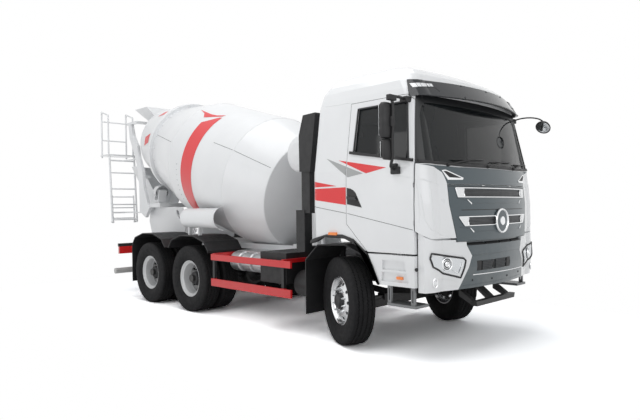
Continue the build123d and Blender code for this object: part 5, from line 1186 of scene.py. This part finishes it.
def dress_side_mirrors(side):
    """Both heads with their glasses, the arm in front of them and the feet at the door's top and foot."""
    if side == "right":
        turn = Matrix.Translation(spot(-MIRROR_OUT, MIRROR_AT, 0))
    else:
        out, along, swing = MIRROR_BACK
        mirrored = Matrix.Scale(-1, 4, (1, 0, 0))
        turn = mirrored @ Matrix.Translation(spot(-out, along, 0)) @ Matrix.Rotation(math.radians(swing), 4,
                "Z")
    body = "cab"
    bm = bmesh.new()
    shell_of(bm, [(2.388, 0.004, 0.058, 0.026, 0.01), (2.396, 0.003, 0.078, 0.036, 0.004),
                  (2.43, 0.0, 0.086, 0.042, 0.0), (2.56, 0.0, 0.088, 0.044, 0.0),
                  (2.69, 0.0, 0.087, 0.043, 0.0), (2.74, 0.002, 0.083, 0.038, 0.002),
                  (2.758, 0.006, 0.072, 0.03, 0.006), (2.764, 0.01, 0.05, 0.018, 0.01)], turn)
    shell_of(bm, [(2.166, 0.02, 0.05, 0.018, 0.006), (2.172, 0.018, 0.066, 0.028, 0.004),
                  (2.2, 0.014, 0.076, 0.034, 0.0), (2.28, 0.012, 0.078, 0.036, 0.0),
                  (2.35, 0.012, 0.076, 0.034, 0.0), (2.372, 0.014, 0.068, 0.028, 0.002),
                  (2.38, 0.018, 0.052, 0.018, 0.004)], turn)
    heads = place_piece(f"mirror_heads_{side}", tidy_mesh(bm, "heads", 40), BLACK_PLASTIC, body)
    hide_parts(f"mirrors_{side}")
    bm = bmesh.new()
    for low, high, half, across in ((2.412, 2.742, 0.076, 0.0), (2.192, 2.358, 0.066, 0.012)):
        rows = [(low, across, half * 0.9, 0.004, 0.043), (low + 0.012, across, half, 0.005, 0.044),
                (high - 0.012, across, half, 0.005, 0.044), (high, across, half * 0.9, 0.004, 0.043)]
        shell_of(bm, rows, turn)
    place_piece(f"mirror_glasses_{side}", tidy_mesh(bm, "glasses"), MIRROR_GLASS, body)
    flip = 1 if side == "right" else -1
    top_foot, low_foot = spot(-1.152 * flip, -0.985, 2.820), spot(-1.255 * flip, -0.915, 2.062)
    spine = [turn @ Vector(point) for point in ((0.046, -0.03, 2.824), (0.04, -0.048, 2.76),
            (0.03, -0.06, 2.7), (0.03, -0.058, 2.54), (0.03, -0.052, 2.4), (0.036, -0.044, 2.3),
            (0.044, -0.034, 2.18), (0.048, -0.012, 2.11))]
    pipes(f"mirror_arms_{side}", [softened([top_foot, (top_foot + spine[0]) / 2
            + Vector((0, -0.012, 0.008)), *spine, low_foot + Vector((-0.07 * flip, 0.0, 0.03)), low_foot],
            4)], 0.016, BLACK_PLASTIC, body, 12)
    bm = bmesh.new()
    for place, half, tall, out in ((top_foot, 0.050, 0.032, 0.055), (low_foot, 0.055, 0.040, 0.030)):
        add_block(bm, place - Vector((out, half, tall)), place + Vector((out, half, tall)))
    low, high = low_foot + Vector((0, -0.02, 0.04)), low_foot + Vector((0, 0.045, 0.075))
    add_block(bm, low - Vector((0.028, 0, 0)), high + Vector((0.022, 0, 0)))
    elbow = turn @ Vector((0.036, -0.042, 2.815))
    add_block(bm, elbow - Vector((0.060, 0.026, 0.034)), elbow + Vector((0.055, 0.030, 0.026)))
    clamp = turn @ Vector((0.030, -0.050, 2.560))
    add_block(bm, clamp - Vector((0.030, 0.022, 0.055)), clamp + Vector((0.030, 0.026, 0.055)))
    place_piece(f"mirror_feet_{side}", tidy_mesh(bm, "feet"), BLACK_PLASTIC, body, 0.009, 3)


def dress_front_mirror():
    """The round mirror ahead of the screen, on its bent arm from the far post."""
    head = spot(1.128, -1.466, 2.690)
    bm = bmesh.new()
    way = Vector((-0.74, -0.06, -0.67)).normalized()
    add_turned(bm, [(-0.046, 0.0), (-0.045, 0.03), (-0.038, 0.06), (-0.022, 0.084), (-0.002, 0.095),
                    (0.01, 0.096), (0.014, 0.092), (0.014, 0.086), (0.008, 0.084)], head, way, 40)
    dish = place_piece("front_mirror_head", tidy_mesh(bm, "dish", 40), BLACK_PLASTIC, "cab")
    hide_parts("front_mirror")
    bm = bmesh.new()
    add_turned(bm, [(0.008, 0.085), (0.016, 0.060), (0.020, 0.030), (0.021, 0.0)], head, way, 40)
    place_piece("front_mirror_glass", tidy_mesh(bm, "glass", 60), MIRROR_GLASS, "cab")
    arm = [spot(*point) for point in ((1.08, -1.01, 2.8), (1.105, -1.09, 2.822), (1.125, -1.18, 2.838),
            (1.13, -1.3, 2.832), (1.14, -1.4, 2.806), (1.156, -1.452, 2.766), (1.158, -1.466, 2.722))]
    pipes("front_mirror_arm", [softened(arm, 4)], 0.0095, BLACK_PLASTIC, "cab", 10)
    bm = bmesh.new()
    block = spot(1.098, -1.052, 2.806)
    add_block(bm, block - Vector((0.030, 0.040, 0.030)), block + Vector((0.030, 0.040, 0.030)))
    place_piece("front_mirror_foot", tidy_mesh(bm, "foot"), BLACK_PLASTIC, "cab", 0.006)


# ---------------------------------------------------------------- mixer drum
DRUM_AXIS = Vector((0, math.cos(math.radians(15.6)), math.sin(math.radians(15.6))))
DRUM_FRONT = spot(0, 1.855, 1.869)    # middle of the drum's front edge circle
DRUM_UP = DRUM_AXIS.cross(Vector((-1, 0, 0)))
if DRUM_UP.z < 0:
    DRUM_UP = -DRUM_UP


def drum_ray(angle):
    """Which way a point round the drum looks: the angle runs from the top down the right-hand side."""
    turn = math.radians(angle)
    return DRUM_UP * math.cos(turn) + Vector((-1, 0, 0)) * math.sin(turn)


def on_drum(surface, t, angle, lift=0.0):
    """The point on the drum's wall at a station and an angle, lifted off it a little."""
    way = drum_ray(angle)
    start = DRUM_FRONT + DRUM_AXIS * t + way * 3.0
    hit, _, _, depth = surface.ray_cast(start, -way)
    return None if hit is None else start - way * (depth - lift)


def drum_strip(bm, surface, rear, front, lift=0.003):
    """A thin film between two edges given as (station, angle), with even steps between their points."""
    rows = []
    for (rear_here, front_here), (rear_next, front_next) in zip(zip(rear, front), zip(rear[1:], front[1:])):
        span = max(abs(rear_next[1] - rear_here[1]), abs(front_next[1] - front_here[1]))
        count = max(1, int(span / 2.5))
        for k in range(count):
            share = k / count
            rows.append([tuple((a + (b - a) * share for a, b in zip(rear_here, rear_next))), tuple((a
                    + (b - a) * share for a, b in zip(front_here, front_next)))])
    rows.append([rear[-1], front[-1]])
    for depth in (lift, -0.004):
        grid = []
        for start, end in rows:
            line = [tuple(a + (b - a) * j / 4 for a, b in zip(start, end)) for j in range(5)]
            grid.append([bm.verts.new(on_drum(surface, t, angle, depth)) for t, angle in line])
        for here, after in zip(grid, grid[1:]):
            for j in range(4):
                bm.faces.new((here[j], here[j + 1], after[j + 1], after[j]))


def dress_drum():
    """The red band and its arrow, the marks on the mouth cone, plate seams and a row of rivets."""
    wall = surface_of("drum")
    bm = bmesh.new()
    drum_strip(bm, wall, [(1.82, 36.5), (1.965, 42.8), (2.105, 47.5), (2.105, 180)], [(1.755, 35.5),
            (1.755, 39.0), (1.755, 43.0), (1.755, 180)])
    drum_strip(bm, wall, [(2.506, 33.2), (2.3, 36.5), (2.185, 41.6), (1.8, 34.3)], [(2.506, 33.2),
            (2.1, 35.2), (1.95, 34.6), (1.758, 31.1)])
    for angle in (78.0, 28.0):
        drum_strip(bm, wall, [(4.16, angle + 3.5), (4.16, angle + 17)], [(3.93, angle - 4),
                (3.93, angle + 9)])
    mirror_of(bm)
    place_piece("drum_marks", tidy_mesh(bm, "drum_marks"), MARK_RED, "drum")
    seams = []
    for start, end in (((0.06, 64.1), (1.40, 62.3)), ((2.62, 74.9), (3.52, 72.9)), ((0.06, 184), (1.40, 186)),
                       ((1.50, 304), (2.50, 303)), ((2.62, 250), (3.52, 251))):
        seams.append([on_drum(wall, start[0] + (end[0] - start[0]) * k / 20, start[1]
                              + (end[1] - start[1]) * k / 20, 0.0) for k in range(21)])
    pipes("plate_seams", seams, 0.0035, SEAM_AND_SHADE_GREY, "drum", 6)
    hoops = []
    for t in (0.012, 0.825, 2.53, 4.435):
        hoop = [on_drum(wall, t, angle) for angle in range(0, 360, 4)]
        if None not in hoop:
            hoops.append(hoop)
    pipes("weld_beads", hoops, 0.0045, DRUM_WHITE, "drum", 8, closed=True)
    sites = [(on_drum(wall, t, angle, 0.0), drum_ray(angle)) for start, t in ((92, 2.245), (272, 2.245))
             for angle in range(start, start + 40, 5)]
    sites += [(on_drum(wall, 3.50, angle, 0.0), drum_ray(angle)) for angle in range(0, 360, 15)]
    studs("drum_rivets", sites, 0.011, 0.008, BRIGHT_STEEL, "drum", 8)
    bm = bmesh.new()
    hatch = on_drum(wall, 1.40, 250, 0.0)
    way = drum_ray(250)
    add_turned(bm, [(-0.01, 0.235), (0.02, 0.235), (0.026, 0.228), (0.026, 0.205), (0.018, 0.2),
                    (0.02, 0.0)], hatch, way, 40)
    place_piece("inspection_hatch", tidy_mesh(bm, "hatch"), DRUM_WHITE, "drum")
    side = way.cross(DRUM_AXIS).normalized()
    ring = [(hatch + way * 0.024 + (DRUM_AXIS * math.cos(a) + side * math.sin(a)) * 0.216, way)
            for a in (2 * math.pi * k / 12 for k in range(12))]
    studs("hatch_bolts", ring, 0.014, 0.012, BRIGHT_STEEL, "drum", 6)


# ---------------------------------------------------------------- put together
NODE_FINISH = [
    (ALLOY, "rim_front_left rim_front_right"),
    (BLACK_PAINT, "axles drum_gearbox frame_rails front_underrun knuckle_left knuckle_right "
                  "leaf_springs"),
    (BLACK_PLASTIC, "air_intake battery_box front_mirror mirrors_left mirrors_right mudguards"),
    (BRIGHT_STEEL, "roller_left roller_right"),
    (CAB_GLASS, "door_glass_left door_glass_right windscreen"),
    (CAB_SHELL, "cab_shell"),
    (CAB_WHITE, "bumper_ends door_left door_right"),
    (CLEAR_LENS, "lamps"),
    (DARK_IRON, "powertrain silencer"),
    (DARK_TRIM, "dashboard grilles"),
    (DRUM_WHITE, "access_platform chute_main chute_post chute_tip drum hoppers ladder_fold "
                 "mixer_frame rear_pedestal spare_chute water_tank"),
    (GUARD_FINISH, "side_guards"),
    (MASK_BLUE, "bumper_centre cowl_panel front_mask"),
    (RED_LENS, "tail_lamps"),
    (RIM_WHITE, "rims_mid_left rims_mid_right rims_rear_left rims_rear_right"),
    (SEAT_CLOTH, "seats"),
    (STEP_FINISH, "boarding_steps"),
    (TANK_METAL, "tanks"),
    (TYRE, "tyre_front_left tyre_front_right tyres_mid_left tyres_mid_right tyres_rear_left "
           "tyres_rear_right"),
    (UNDERRUN_FINISH, "rear_underrun"),
    (VISOR_SMOKE, "visor"),
]


def finish_nodes():
    """Each carried-over node gets its finish."""
    for finish, nodes in NODE_FINISH:
        for node in nodes.split():
            slots = frame["nodes"][node].data.materials
            slots.clear()
            slots.append(finish)


def main():
    """Dress the frame, then set the camera, the floor and the light."""
    finish_nodes()
    for side, outward in (("right", -1), ("left", 1)):
        dress_front_wheel(side, outward)
        for axle in ("mid", "rear"):
            dress_twin_wheels(axle, side, outward)
    dress_flanks()
    dress_screen()
    dress_mask()
    dress_bumper()
    dress_side_mirrors("right")
    dress_side_mirrors("left")
    dress_front_mirror()
    dress_drum()
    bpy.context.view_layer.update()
    place_camera()
    lay_floor()
    light_studio()
    bpy.context.scene.view_settings.view_transform = "Standard"


main()
